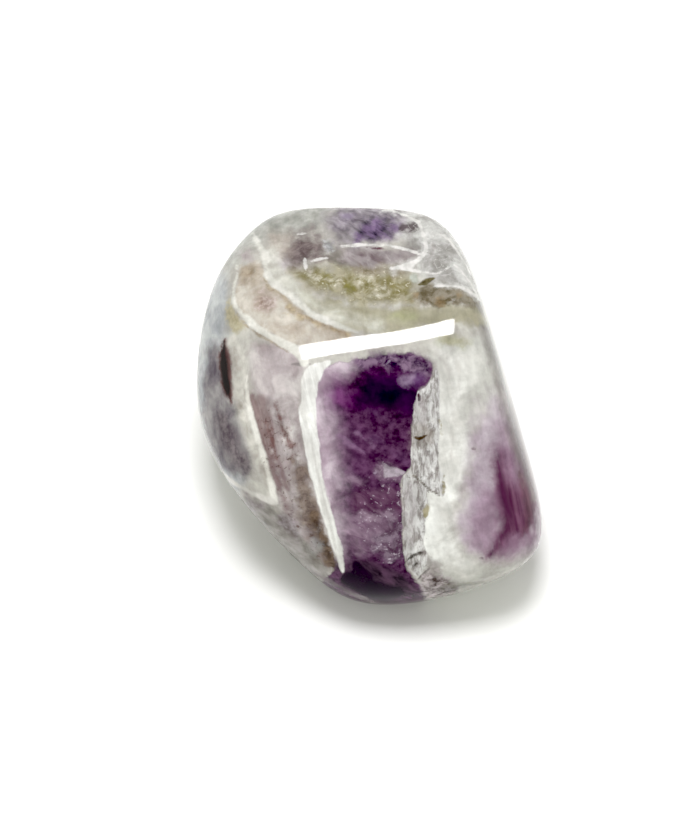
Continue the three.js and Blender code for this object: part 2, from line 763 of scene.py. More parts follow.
LAYERS = (
    # The hidden side, away from the front face
    Layer("back_veils", Tone("#dcdad4", "#a29da0", F.STREAK, 2.5, 0.6, strength=0.45), (
        Patch(((-12.5, 13), (0, 15.5), (12.5, 12), (13.5, 0), (9, -14), (-9, -13),
               (-13.5, 0)), S.BACK),
    )),
    Layer("back_band", Tone("#ad97b0", "#7d6383", F.FLECK, 2.2, 0.6, strength=0.9), (
        Vein(((-11.5, 8.6, 0.4), (-6.5, 10.2, 0.9), (-2, 9.8, 1.3), (2.6, 8.3, 1.5),
              (6.4, 6.3, 1.2), (10.2, 2.6, 0.7)), S.BACK),
    )),
    Layer("back_core", Tone("#765279", "#44244c", F.WISP, 1.4, 0.5, strength=0.9), (
        Vein(((-5.5, 10.1, 0.1), (-2, 9.7, 0.5), (1.8, 8.7, 0.75), (5.2, 7, 0.5),
              (8.6, 4.2, 0.1)), S.BACK),
    )),
    Layer("back_tan", Tone("#cbc1a8", "#a79a78", F.FLECK, 1.6, 0.5, strength=0.7), (
        Patch(((-7, 7.2), (-3, 6.8), (0.2, 5.4), (-1.6, 3.2), (-6.6, 4)), S.BACK),
        Patch(((-6, -3.6), (-2, -4), (0, -7), (-3.6, -8.6), (-7, -6.4)), S.BACK),
    )),
    Layer("back_slate", Tone("#a3a1a6", "#77727b", F.CLOUD, 1.5, 0.5, strength=0.7), (
        Patch(((3, 12.6), (6.8, 11), (9.2, 7.8), (8.6, 6.6), (6.2, 9.4), (3.2, 11.2)), S.BACK),
        Patch(((-2, 3), (3.4, 2.2), (6, -1.6), (1, -2.6), (-4, 0)), S.BACK),
    )),
    Layer("back_seams", Tone("#f0eee9", "#d8d5ce", F.CLOUD, 0.35, 0.2), (
        Vein(((-11.6, 10.4, 0.05), (-7.4, 12, 0.13), (-2.6, 11.8, 0.2), (2.4, 10.4, 0.22),
              (6.2, 8.4, 0.18), (9.8, 5, 0.14), (12, 0.6, 0.04)), S.BACK),
        Vein(((-9.6, 6.6, 0.05), (-5.6, 8.2, 0.14), (-1.6, 7.8, 0.2), (2.2, 6.2, 0.2),
              (5.2, 4.3, 0.16), (8.4, 0.8, 0.05)), S.BACK),
        Vein(((-8.8, -3, 0.05), (-4.4, -1.4, 0.14), (0.8, -3.4, 0.18), (5.4, -4.4, 0.14),
              (8.8, -7.4, 0.05)), S.BACK),
    )),
    Layer("back_threads",
        Tone("#efedea", "#dedbd6", F.THREAD, 1.4, 0.4, strength=0.3, sparse=True), (
        Patch(((-7, 9.6), (-3.6, 8.6), (-2, 6.2), (-6.4, 5.4)), S.BACK),
        Patch(((4, 10.8), (8.2, 9.4), (9.4, 5.4), (6.6, 7.4)), S.BACK),
    )),
    Layer("back_cracks", Tone("#76605a", "#52403a", F.GRAIN, 0.16, 0.12, strength=0.8), (
        Vein(((3.4, 12.6, 0.02), (3, 11.2, 0.06), (3.6, 9.8, 0.02)), S.BACK),
        Vein(((-6.4, 6.4, 0.02), (-5.2, 5, 0.05), (-4.8, 3.6, 0.02)), S.BACK),
    )),
    # Broad grounds under all the rest
    Layer("left_rim", Tone("#d0d2d3", "#a8abb0", F.CLOUD, 1.2, 0.2), (
        Patch(((-11.2, 11), (-10.4, 8), (-10.9, 5), (-10.9, 2), (-10.4, -1.5), (-9, -5.5),
               (-10.5, -7.5), (-15, -4), (-16, 3), (-14, 10)), S.THROUGH),
    )),
    Layer("mauve_ground", Tone("#d3cdcb", "#a09395", F.CLOUD, 0.8, 0.2), (
        Patch(((-9.3, 4.6), (-9, 2), (-8.7, 0), (-8.2, -2), (-7.6, -4), (-7.2, -6), (-6.9, -7.5),
               (-6, -9), (-5, -10.5), (-4.2, -11.8), (-2.4, -12.6), (-3, -10), (-3.8, -7),
               (-4.6, -4), (-5.1, -1), (-5.2, 0.5), (-5, 2), (-4.8, 3.6), (-6.5, 4.2),
               (-7.5, 4.9)), S.THROUGH),
    )),
    Layer("low_flank", Tone("#b5b0ae", "#777269", F.CLOUD, 0.8, 0.3), (
        Patch(((-10.5, -5.9), (-9, -6.8), (-7.6, -7.5), (-6.7, -8), (-5.4, -9.4), (-4.5, -10.4),
               (-3.5, -11.6), (-2.8, -12.8), (-3.5, -16), (-8, -14), (-12.5, -8.5)), S.THROUGH),
    )),
    Layer("pale_right", Tone("#e0dfda", "#cac8c3", F.CLOUD, 1.4, 0.4), (
        Patch(((4.6, 5.4), (6, 5), (8.5, 5.6), (11.5, 5), (12, 0.8), (9.5, 0.2), (8, -1.5),
               (7.4, -4), (6.6, -5), (5.6, 0), (4.8, 3.2)), S.THROUGH),
    )),
    Layer("lilac_right", Tone("#cfc5cd", "#b1a1ad", F.CLOUD, 2.2, 0.5), (
        Patch(((7.3, -2.6), (8.2, -0.4), (9, 0.6), (9.8, 1.3), (11.5, 1), (13, -3), (14.5, -7),
               (14.5, -10), (12.6, -11.2), (10.2, -12), (8.6, -12), (7.2, -10.6), (6.4, -9.2),
               (6.8, -7.6), (7, -5.4)), S.THROUGH),
    )),
    # The left flank
    Layer("slate_lens", Tone("#a29e9e", "#554857", F.CLOUD, 0.9, 0.25), (
        Patch(((-11.5, 5.2), (-12.2, 4), (-12.6, 1), (-12.7, -1.5), (-12.1, -3.7), (-11.2, -4.9),
               (-9.8, -5.4), (-9, -5.4), (-8.9, -4.6), (-9.1, -3.5), (-9.7, -1.5), (-10.3, 0.3),
               (-10.9, 2), (-11.2, 4))),
    )),
    Layer("slate_core", Tone("#857c7e", "#453041", F.GRAIN, 0.9, 0.3, strength=0.8), (
        Patch(((-11.5, -0.6), (-11, -0.4), (-10.6, -1.5), (-9.8, -2.8), (-9.2, -4), (-8.9, -5),
               (-9.4, -5.2), (-10.3, -4), (-11.2, -2.9))),
    )),
    Layer("tan_patch", Tone("#c1b99f", "#aca281", F.GRAIN, 0.5, 0.2, strength=0.9), (
        Patch(((-10.7, 8.6), (-10.3, 7.2), (-9.9, 6.7), (-9.2, 6), (-9.8, 5.4), (-10.4, 5.6),
               (-10.8, 6.6))),
    )),
    Layer("brown_lens", Tone("#7a5a58", "#47262a", F.GRAIN, 0.3, 0.08), (
        Patch(((-10.9, 5.3), (-11.3, 4.3), (-11.42, 3.2), (-11.3, 2), (-11, 0.8), (-10.4, -0.1),
               (-10.25, 0.6), (-10.35, 2), (-10.5, 3.4), (-10.7, 4.6))),
    )),
    Layer("black_lens", Tone("#1c0b0e", "#0c0405", F.GRAIN, 0.25, 0.05), (
        Patch(((-10.95, 5.1), (-11.2, 4.2), (-11.3, 3.2), (-11.2, 2.1), (-10.95, 1.1),
               (-10.55, 0.35), (-10.45, 0.7), (-10.6, 2), (-10.75, 3.4), (-10.85, 4.4))),
    )),
    Layer("mauve_streaks", Tone("#8f777a", "#6c4e53", F.WISP, 0.8, 0.3, strength=0.8), (
        Vein(((-9, 1.2, 0.04), (-8.8, 0, 0.3), (-8.4, -1.5, 0.36), (-7.9, -3, 0.34),
              (-7.4, -4.5, 0.28), (-6.8, -6.2, 0.2), (-6.3, -7.6, 0.03))),
        Vein(((-7.6, -1, 0.04), (-7.1, -2.6, 0.24), (-6.8, -4.2, 0.28), (-6.3, -5.8, 0.2),
              (-5.8, -7.6, 0.03))),
    )),
    Layer("mauve_pale", Tone("#d6cdcd", "#beb3b5", F.CLOUD, 1.4, 0.3, strength=0.85), (
        Patch(((-8.9, 3.2), (-7.6, 4.7), (-5.6, 4.2), (-5.5, 2.6), (-6.6, 1.5), (-7.6, 0.5),
               (-8.3, 0.9))),
    )),
    Layer("mauve_edge", Tone("#9a8786", "#7d6869", F.STREAK, 0.5, 0.15, strength=0.75), (
        Patch(((-8.9, 0.8), (-7.9, 0.8), (-7.5, -0.6), (-7.3, -2.2), (-7.6, -3.8), (-8.2, -3.2),
               (-8.7, -1.6))),
    )),
    Layer("maroon_streaks", Tone("#7d5c5b", "#57322f", F.FLECK, 0.6, 0.3, strength=0.85), (
        Vein(((-7.2, 0.2, 0.03), (-6.7, -1.4, 0.18), (-6.1, -2.7, 0.26), (-5.7, -3.7, 0.22),
              (-5.3, -4.6, 0.03))),
        Vein(((-7.9, -1.2, 0.03), (-7.3, -2.7, 0.16), (-6.9, -3.9, 0.03))),
    )),
    Layer("pale_streaks", Tone("#c2bcbb", "#a49a9c", F.STREAK, 0.35, 0.15, strength=0.6), (
        Vein(((-7.7, 1.5, 0.05), (-7.2, -0.6, 0.12), (-6.8, -3.4, 0.16), (-6.1, -5.5, 0.18),
              (-5.4, -7.5, 0.18), (-4.9, -9, 0.1))),
    )),
    Layer("brown_cracks", Tone("#95857c", "#5c4a42", F.FLECK, 0.8, 0.3, strength=0.85), (
        Patch(((-5.9, -3.6), (-5, -4.2), (-4.5, -5.6), (-4.1, -7.05), (-3.4, -9.2), (-2.5, -11.8),
               (-2.44, -12.5), (-3, -12.4), (-3.9, -11.2), (-4.9, -9.6), (-5.5, -8),
               (-5.8, -6)), S.THROUGH),
    )),
    Layer("brown_depth", Tone("#7c6858", "#3f2d22", F.FLECK, 0.5, 0.2, strength=0.85), (
        Patch(((-4.7, -7.8), (-3.9, -8), (-3.2, -10), (-2.4, -12), (-2.7, -12.6), (-3.4, -11.4),
               (-4.2, -9.6)), S.THROUGH),
    )),
    Layer("blue_white", Tone("#c4cacd", "#b0b4b8", F.CLOUD, 0.7, 0.25, strength=0.4), (
        Patch(((-4.6, -9.7), (-3.9, -9.9), (-3.6, -10.9), (-4.2, -11.2), (-4.8, -10.4))),
    )),
    Layer("flank_mottling", Tone("#aaa0a7", "#665758", F.GRAIN, 0.8, 0.3, strength=0.7), (
        Patch(((-7, -8), (-5.8, -8.4), (-5, -9.8), (-5.6, -10.4), (-6.8, -9.2))),
        Patch(((-9.8, -6.6), (-8.8, -6.9), (-8, -7.6), (-8.8, -8))),
    )),
    Layer("cream_band", Tone("#e0ddd6", "#a09890", F.CLOUD, 0.6, 0.1), (
        Vein(((-10.3, 4.76, 0.35), (-9.9, 3.64, 0.48), (-9.7, 2.3, 0.5), (-9.7, 0.9, 0.48),
              (-9.55, -0.3, 0.4), (-9.25, -1.4, 0.36), (-8.62, -3.3, 0.32), (-7.85, -5.2, 0.24),
              (-7.35, -7.05, 0.12)), S.THROUGH),
    )),
    Layer("band_line", Tone("#f6f4ee", "#e2ded6", F.CLOUD, 0.25, 0.05), (
        Vein(((-9.3, 2.2, 0.05), (-9.25, 0.45, 0.12), (-8.78, -1.43, 0.16), (-8.2, -3.3, 0.18),
              (-7.65, -5.18, 0.17), (-7.22, -6.77, 0.2), (-7.1, -7.28, 0.1)), S.THROUGH),
    )),
    Layer("lower_arm_and_outline_highlight", Tone("#ebe8e3", "#d2cdc9", F.CLOUD, 0.2, 0.05), (
        Vein(((-11.06, -4.99, 0.1), (-10.31, -5.74, 0.13), (-9.19, -6.39, 0.13),
              (-8.25, -6.83, 0.15), (-7.3, -7.2, 0.2), (-7.05, -7.33, 0.1)), S.THROUGH),
        # Painted highlight: a thin bright line carried up along the left outline; the line above
        # is the white band's own lower arm.
        Vein(((-12.66, -1.99, 0.04), (-12.19, -3.3, 0.07), (-11.6, -4.4, 0.08),
              (-11.06, -4.99, 0.08)), S.THROUGH),
    )),
    Layer("maroon_grain",
        Tone("#6d5852", "#46322c", F.SPECK, 0.8, 0.2, strength=0.8, sparse=True), (
        Patch(((-8.6, 0), (-6, -1), (-5.6, -4), (-4.4, -8), (-3, -12), (-4.6, -11), (-6.4, -7.5),
               (-7.2, -6), (-8.2, -3))),
    )),
    Layer("notch", Tone("#8f8988", "#7c7674", F.GRAIN, 0.15, 0.05, strength=0.7), (
        Vein(((-5.9, 3.1, 0.05), (-5.2, 3.15, 0.1), (-4.5, 3.15, 0.05))),
    )),
    # The purple crystal
    Layer("crystal", Tone("#6a4666", "#310c31", F.GRAIN, 0.25, 0.1), (
        Patch(((-4.4, 2.6), (-3.4, 2.9), (-2.6, 3.1), (-1.2, 3.45), (0.2, 3.65), (1.4, 3.85),
               (2.6, 3.95), (3.6, 3.8), (4.2, 3.4), (4.6, 3), (4.65, 2.6), (4.5, 2), (4.25, 1.5),
               (3.9, 1.3), (3.5, 1.15), (3.45, 0.6), (3.3, 0), (3.15, -1), (3.1, -2.6),
               (3.05, -4), (3, -4.9), (2.3, -5.3), (2.3, -6.2), (2.35, -7.2), (2.4, -8.6),
               (2.45, -10), (2.5, -11.2), (2.8, -12.2), (3.4, -13.1), (4.4, -13.9), (5, -15.5),
               (-1, -16.5), (-4, -13.5), (-2.35, -12), (-3.05, -10), (-4, -6), (-4.55, -2),
               (-4.7, 1)), S.THROUGH),
    )),
    Layer("lavender_side", Tone("#e2d4de", "#b4a0ae", F.CLOUD, 2.5, 0.2), (
        Patch(((-1.2, 3.8), (-1.4, 2.9), (-1.9, 2.1), (-2.6, 1.4), (-3.2, 0.6), (-3, -0.5),
               (-2.5, -1.9), (-2.3, -3.6), (-2.35, -5.2), (-2.35, -7.4), (-2.25, -9), (-2, -10.8),
               (-2.6, -12), (-6.4, -6), (-7, 0), (-6.6, 4.2), (-3, 4.8)), S.THROUGH),
    ), within="crystal"),
    Layer("dusky_top", Tone("#937b92", "#2d1338", F.FLECK, 0.8, 0.3), (
        Patch(((-1.5, 3.4), (0, 3.8), (1.2, 4), (2.6, 4), (3.6, 3.75), (4.2, 3.4), (4.6, 2.9),
               (4.5, 2.3), (3.8, 2.3), (3, 2.2), (2, 2.6), (1.2, 2.7), (0.4, 3.1), (-0.6, 2.9))),
    )),
    Layer("plum_low", Tone("#7a5b72", "#4b2544", F.WISP, 0.9, 0.3, strength=0.85), (
        Patch(((-1.4, -6.4), (0.5, -6.2), (2.4, -5.8), (2.4, -8.2), (1, -8.1), (-0.4, -8.2),
               (-1.5, -7.8))),
    )),
    Layer("night", Tone("#42184a", "#2c0e33", F.CLOUD, 1.6, 0.2), (
        Patch(((-0.2, 2.5), (0.6, 2.3), (1.3, 2.3), (2, 2.2), (2.8, 1.9), (3.8, 1.5), (4.6, 0),
               (4.4, -1.2), (1, -0.6), (-0.4, -0.2), (-1.1, 0.2), (-1.1, 1), (-0.8, 1.9))),
    ), within="crystal"),
    Layer("magenta_glow", Tone("#80497c", "#632c61", F.WISP, 1.7, 0.3, strength=0.85), (
        Patch(((-2.9, 2), (-2, 1.9), (-1.6, 0.9), (-2, -0.1), (-3, -0.2), (-3.3, 1))),
    )),
    Layer("wisps", Tone("#704f72", "#5e3d60", F.WISP, 0.5, 0.25, strength=0.4), (
        Vein(((-0.6, 0, 0.03), (0.3, -0.5, 0.15), (1.2, -1.1, 0.16), (1.9, -1.6, 0.05))),
        Vein(((-2, -4.8, 0.05), (-1.4, -5.3, 0.15), (-1, -5.5, 0.05))),
        Vein(((0, -2.4, 0.05), (1, -3, 0.2), (2, -3.8, 0.2), (2.8, -4.4, 0.1))),
    )),
    Layer("pale_wisps", Tone("#b394b4", "#9b7a9c", F.WISP, 0.4, 0.2, strength=0.45), (
        Vein(((-2.4, -2.2, 0.05), (-1.2, -3, 0.15), (-0.4, -3.5, 0.05))),
        Vein(((-1, -2, 0.05), (-0.2, -2.7, 0.12), (0.3, -3.1, 0.04))),
    )),
    Layer("crystal_glow", Tone("#80577d", "#613a5e", F.WISP, 1.6, 0.4, strength=0.3), (
        Patch(((-2.8, -0.8), (-0.6, -1), (0.4, -2.6), (-0.2, -4.8), (-1.8, -5.6), (-2.6, -3.6))),
    ), within="crystal"),
    Layer("lobe", Tone("#c3afc6", "#72507c", F.CLOUD, 0.8, 0.15, strength=0.85), (
        Patch(((2.3, 1.9), (3, 2.4), (3.7, 2.6), (4.3, 2.2), (4.2, 1.5), (3.7, 1.2), (3.1, 1.3),
               (2.6, 1.5))),
    )),
    Layer("flecked_foot", Tone("#9b8a9a", "#573f52", F.FLECK, 0.9, 0.3, strength=0.8), (
        Patch(((-0.9, -8.2), (0.5, -8), (2.4, -8.2), (2.6, -9.8), (2.3, -11.2), (1, -11.6),
               (0.2, -10.8), (-0.5, -9.4))),
    ), within="crystal"),
    Layer("mist", Tone("#a992a4", "#7f647a", F.WISP, 0.9, 0.3, strength=0.7), (
        Vein(((-2.4, -5.5, 0.1), (-1.5, -5.4, 0.22), (-0.4, -5.7, 0.1))),
        Patch(((-1.8, -8.3), (1.4, -8.1), (1.6, -9.4), (0.3, -9.8), (-0.1, -11), (-1.1, -11.4),
               (-1.7, -10.4))),
        Patch(((0.4, -4.3), (1.4, -4.5), (2.3, -5.2), (2.2, -5.9), (0.7, -5.8))),
    ), within="crystal"),
    Layer("foot_specks",
        Tone("#dccfdc", "#c7b8c8", F.SPECK, 0.9, 0.3, strength=0.5, sparse=True), (
        Patch(((-0.8, -8), (0.6, -4.6), (2.6, -4.8), (2.7, -9.8), (2.4, -11.4), (1, -12),
               (0.2, -11), (-0.5, -9.6))),
    ), within="crystal"),
    Layer("foot_purple", Tone("#61455d", "#100317", F.WISP, 0.6, 0.15), (
        Patch(((-2.3, -12.6), (-1.2, -11.4), (0.4, -11.9), (1.8, -12.2), (2.8, -12.9), (3.8, -14),
               (2.8, -14.4), (0.4, -14.9), (-1.8, -14.2))),
    )),
    Layer("ice_chip", Tone("#bbafba", "#938891", F.GRAIN, 0.18, 0.06), (
        Patch(((0.8, -4.1), (1.1, -4.4), (2.1, -4.75), (2.9, -5), (2.4, -5.2), (1.5, -5.35),
               (1, -5.4), (0.95, -5.1), (1.05, -4.7))),
    )),
    Layer("lens_night", Tone("#260a2a", "#190720", F.CLOUD, 0.3, 0.12), (
        Patch(((-2.4, -13.05), (-1.9, -12.5), (-1.5, -12.35), (-1.35, -11.9), (-1.1, -11.5),
               (-0.6, -12), (0.1, -12.8), (0.9, -13.2), (1.8, -13.5), (2.5, -13.8), (2.6, -14.1),
               (1.9, -14.5), (0.9, -14.7), (-0.2, -14.4), (-1.4, -13.8))),
    )),
    Layer("glints", Tone("#cdbfd2", "#b9a8c0", F.GRAIN, 0.1, 0.06, strength=0.4), (
        Vein(((1.15, 3.1, 0.03), (1.4, 3.35, 0.09))),
        Vein(((0.3, -5.05, 0.05), (0.5, -4.95, 0.07))),
    )),
    # Painted highlight: a paler line along the foot's bottom edge.
    Layer("foot_rim_highlight", Tone("#9b9193", "#6d6166", F.CLOUD, 0.2, 0.06, strength=0.7), (
        Vein(((-5.2, -11.95, 0.01), (-3.6, -12.85, 0.12), (-2.5, -13.45, 0.14),
              (-1.2, -14.15, 0.12), (0.2, -14.75, 0.1), (1.8, -15, 0.08), (3.4, -14.9, 0.04),
              (4.8, -14.5, 0.01))),
    )),
    # The white stripe along the crystal's left
    Layer("white_stripe", Tone("#fbfbf8", "#e9e7e3", F.STREAK, 0.16, 0.07), (
        Patch(((-4.7, 2.95), (-5.25, 2.2), (-5.36, 1.6), (-5.2, 0.85), (-5.25, 0.3),
               (-5.42, -0.3), (-5.24, -1.4), (-4.97, -3.3), (-4.56, -5.2), (-4.04, -7.05),
               (-3.36, -8.95), (-2.82, -10.8), (-2.3, -12.3), (-2.05, -12.6), (-1.82, -12.3),
               (-2.08, -10.8), (-2.6, -8.95), (-3.18, -7.05), (-3.62, -5.2), (-3.86, -3.3),
               (-4.03, -1.4), (-4.13, -0.3), (-4.08, 0.6), (-3.95, 1.6), (-3.55, 2.6), (-3, 3.2),
               (-2.7, 3.4), (-3.6, 3.35)), S.THROUGH),
    )),
    Layer("stripe_line", Tone("#cdc9c4", "#bfbab6", F.STREAK, 0.18, 0.05, strength=0.6), (
        Vein(((-4.5, -2, 0.03), (-4.3, -3.6, 0.08), (-3.9, -5.4, 0.1), (-3.4, -7.4, 0.1),
              (-3, -9, 0.08), (-2.6, -10.8, 0.04))),
    )),
    # The grey column along the crystal's right, and the cream beside it
    Layer("cream", Tone("#f7f7f3", "#d7d5d0", F.CLOUD, 0.9, 0.2), (
        Patch(((5, 4), (6.4, 4.2), (6.9, 2), (7.1, 0), (7.1, -2), (6.9, -4), (6.7, -6),
               (6.2, -7.2), (6.1, -9), (6.4, -10.5), (7.2, -11.5), (8.5, -12.2), (10.5, -12),
               (12, -11.2), (13, -13), (8, -15.5), (4.5, -15), (3.6, -12.6), (3.6, -9), (4.6, -4),
               (4.6, 0)), S.THROUGH),
    )),
    # Painted shade: the cream darkened toward the bottom edge, where the stone turns under.
    Layer("cream_underside_shade", Tone("#cbc9c2", "#b7b4ad", F.CLOUD, 1.8, 0.4, strength=0.6), (
        Patch(((4.4, -12), (8.5, -11.7), (11.5, -10.6), (13.5, -12), (8, -15.5),
               (4.5, -15)), S.THROUGH),
    )),
    Layer("broken_shade", Tone("#aaa19f", "#837a77", F.FLECK, 0.7, 0.3, strength=0.75), (
        Patch(((3.9, -11), (4.8, -11.4), (5.4, -12.4), (5, -13.6), (4, -13.2))),
    )),
    Layer("faint_arcs", Tone("#cfcbc5", "#c0bab6", F.CLOUD, 0.4, 0.15, strength=0.65), (
        Vein(((4.9, 3.9, 0.08), (5.6, 3.2, 0.15), (5.9, 2.4, 0.15), (5.8, 1.6, 0.08))),
        Vein(((6.3, 3.6, 0.05), (6.7, 2.6, 0.12), (6.6, 1.2, 0.05))),
        Vein(((5.9, -1, 0.05), (6.2, -2.4, 0.14), (6, -4, 0.05))),
    )),
    Layer("column", Tone("#e6e5e4", "#8f8886", F.FROST, 0.12, 0.08), (
        Patch(((4.9, 2.9), (5.1, 2.2), (5.2, 0.8), (5.1, -0.6), (5.2, -1.6), (5.1, -2.6),
               (5.1, -4.6), (5.2, -5.1), (5.5, -5.2), (5.6, -6.4), (5.5, -6.9), (5.1, -6.7),
               (4.2, -6.2), (4.2, -7), (4.35, -7.6), (4.15, -8.4), (4.05, -9.6), (4, -10.4),
               (4.3, -11.2), (4, -12.2), (3.6, -12.9), (3, -12.4), (2.55, -11.6), (2.45, -10),
               (2.4, -8.6), (2.35, -7.2), (2.25, -6.2), (2.3, -5.3), (3, -4.9), (3.05, -4),
               (3.1, -2.6), (3.15, -1), (3.3, 0), (3.45, 0.6), (3.5, 1.15), (3.9, 1.3),
               (4.25, 1.5), (4.55, 2), (4.7, 2.6)), S.THROUGH),
    ), matt=0.12),
    Layer("column_grain",
        Tone("#85807e", "#635d5b", F.SPECK, 0.2, 0.1, strength=0.55, sparse=True), (
        Patch(((3, 1), (4.8, 1), (5.3, -3), (5.3, -6.6), (4.4, -6.4), (4.4, -12), (3.6, -13),
               (2.4, -10), (2.3, -5.4), (3.1, -4.6))),
    )),
    Layer("column_pale", Tone("#cdcac9", "#a69fa0", F.FROST, 0.35, 0.1, strength=0.85), (
        Patch(((3.4, 0.9), (4.1, 0.6), (4.2, -1.6), (3.5, -1.9), (3.3, -0.8))),
        Patch(((2.4, -5.6), (3.3, -5.6), (3.4, -7.6), (3.2, -9.6), (3.2, -10.8), (2.6, -10.6),
               (2.5, -8.4))),
    )),
    Layer("pit_shade", Tone("#958c82", "#6c6259", F.GRAIN, 1, 0.3, strength=0.5), (
        Patch(((3, -1.5), (4.7, -1.3), (5, -2.4), (4.1, -3.2), (3.1, -3))),
    )),
    Layer("pits", Tone("#5c4938", "#302214", F.GRAIN, 0.14, 0.08), (
        Patch(((3.2, -2.35), (3.6, -2.58), (3.9, -2.62), (4.25, -2.2), (3.95, -2.18),
               (3.6, -2.3)), sharp=True),
    ), sink=0.07),
    Layer("purple_pits", Tone("#4c2539", "#2d0e21", F.GRAIN, 0.12, 0.05), (
        Patch(((3.58, 0.98), (3.74, 0.7), (3.72, 0.3), (3.56, 0.33), (3.52, 0.8)), sharp=True),
    ), sink=0.05),
    Layer("column_crack", Tone("#7f766b", "#645c54", F.GRAIN, 0.12, 0.05, strength=0.85), (
        Vein(((3, -5.1, 0.05), (3.7, -5.6, 0.08), (4.4, -6.3, 0.08), (5.2, -6.8, 0.05))),
    ), sink=0.03),
    Layer("broken_strokes", Tone("#504a45", "#393330", F.GRAIN, 0.12, 0.05, strength=0.9), (
        Vein(((2.6, -11.7, 0.05), (3.2, -11.2, 0.09), (4, -10.9, 0.05))),
        Vein(((3.1, -12.1, 0.05), (3.5, -11.8, 0.08))),
        Vein(((3.6, -13, 0.05), (4.1, -12.5, 0.09), (4.4, -12.2, 0.05))),
    ), sink=0.04),
    Layer("olive_flecks", Tone("#aaa180", "#877c56", F.FLECK, 0.2, 0.18, strength=0.85), (
        Vein(((5.2, -1.2, 0.08), (5.35, -1.6, 0.1), (5.4, -2.2, 0.05))),
        Vein(((5.45, -5.4, 0.06), (5.5, -6, 0.12), (5.4, -6.6, 0.06))),
        Vein(((4.3, -7.5, 0.08), (4.2, -7.9, 0.1), (4.1, -8.4, 0.06))),
    )),
    Layer("blob", Tone("#d0c6c8", "#4b3b39", F.GRAIN, 0.45, 0.15), (
        Patch(((3.7, -13), (4.3, -12.4), (5, -12.5), (5.9, -13), (6.8, -13.5), (6.4, -14.3),
               (5, -14.6), (4.2, -14.3), (3.8, -13.6))),
    )),
    Layer("olive_shade", Tone("#928f7c", "#030303", F.CLOUD, 0.8, 0.2, strength=0.85), (
        Vein(((5.2, -13.9, 0.1), (6, -13.6, 0.25), (7.4, -13.4, 0.15), (8.6, -13.2, 0.05))),
    )),
    # The right flank
    Layer("orchid", Tone("#7f5770", "#5a2a4b", F.STREAK, 1.2, 0.25), (
        Patch(((9.3, -3), (10.6, -2.8), (11.5, -3.5), (12.3, -5.7), (12.7, -8), (12.3, -9.2),
               (11.4, -10.4), (10.2, -11.2), (8.7, -11.5), (8.7, -10.8), (9.2, -9.8), (9.6, -8.7),
               (9.3, -7.4), (9.2, -5.9), (9.2, -4.4)), S.THROUGH),
    )),
    Layer("haze", Tone("#a78ba1", "#8a6c82", F.CLOUD, 1.8, 0.3, strength=0.75), (
        Patch(((8.3, -5.8), (9.6, -6), (9.8, -9.4), (9.2, -10.6), (8.2, -10.8), (7.4, -10.2),
               (7.4, -8.4))),
        Patch(((9.4, -0.8), (10.8, -1.2), (12, -4), (12.5, -6), (10.4, -6), (9.6, -4))),
        Patch(((9.8, -10), (11.6, -9.4), (12.6, -10), (11.7, -11), (10.6, -11.5), (9.4, -11.6))),
    )),
    Layer("maroon_edge", Tone("#6c3c50", "#431829", F.STREAK, 0.7, 0.15, strength=0.8), (
        Vein(((11.2, -5, 0.15), (11.6, -6.2, 0.32), (11.9, -7.4, 0.36), (11.9, -8.6, 0.3),
              (11.4, -9.6, 0.1))),
    )),
    Layer("dark_stroke", Tone("#5e3150", "#451b3d", F.STREAK, 0.6, 0.1), (
        Vein(((9.5, -3.6, 0.03), (9.72, -5.18, 0.1), (9.92, -6.4, 0.2), (10.2, -7.5, 0.24),
              (10.55, -8.5, 0.08))),
        Vein(((10.5, -8.74, 0.05), (9.75, -9.86, 0.12), (9, -11.2, 0.08))),
    )),
    Layer("thin_streaks", Tone("#a2969d", "#93878d", F.STREAK, 0.18, 0.05, strength=0.55), (
        Vein(((10.1, 1.2, 0.04), (10.7, -1.2, 0.07), (11.2, -3.4, 0.04))),
        Vein(((10.4, 0.5, 0.03), (11, -1.8, 0.06), (11.4, -3.4, 0.03))),
    )),
    # Painted shade: a darker band laid along the right outline, where the rim shows dark.
    Layer("right_rim_shade", Tone("#857b77", "#5f5653", F.CLOUD, 0.7, 0.15, strength=0.7), (
        Vein(((6.4, 11.2, 0.05), (7.1, 10.1, 0.4), (8, 8, 0.5), (8.75, 6, 0.62), (9.4, 4, 0.66),
              (9.95, 2, 0.68), (10.5, 0, 0.72), (11.1, -2.4, 0.66), (11.8, -5, 0.5),
              (12.3, -7, 0.1))),
    )),
    Layer("right_spots", Tone("#7a6470", "#624c58", F.GRAIN, 0.15, 0.05, strength=0.8), (
        Vein(((7.65, -3.2, 0.09), (7.8, -3.25, 0.07))),
        Vein(((8.25, -11.4, 0.09), (8.4, -11.45, 0.07))),
        Vein(((9, -5.6, 0.06), (9.1, -5.7, 0.06))),
    )),
    Layer("olive_wash", Tone("#a9a788", "#8d8a62", F.CLOUD, 0.8, 0.3, strength=0.7), (
        Patch(((4.8, 5.2), (6.2, 5.3), (7.6, 5.1), (7.4, 4.5), (6, 4.4), (4.9, 4.6))),
    )),
    # The crown
    Layer("sage", Tone("#c3c2bd", "#9b9b95", F.CLOUD, 0.9, 0.3), (
        Patch(((-10.9, 10.2), (-10.6, 12.2), (-9.4, 14), (-7.5, 15.4), (-4.5, 16.2), (-2.6, 16),
               (-3.3, 13.4), (-5.2, 13.1), (-6.6, 12.4), (-8.2, 12.2), (-9, 12),
               (-9.8, 10.6)), S.THROUGH),
    )),
    Layer("net_ground", Tone("#dedddb", "#97938f", F.CLOUD, 1.2, 0.3), (
        Patch(((2.2, 15.5), (2.6, 13.6), (2.2, 12.4), (3.2, 11.2), (3.6, 9.6), (5, 9), (7, 8.8),
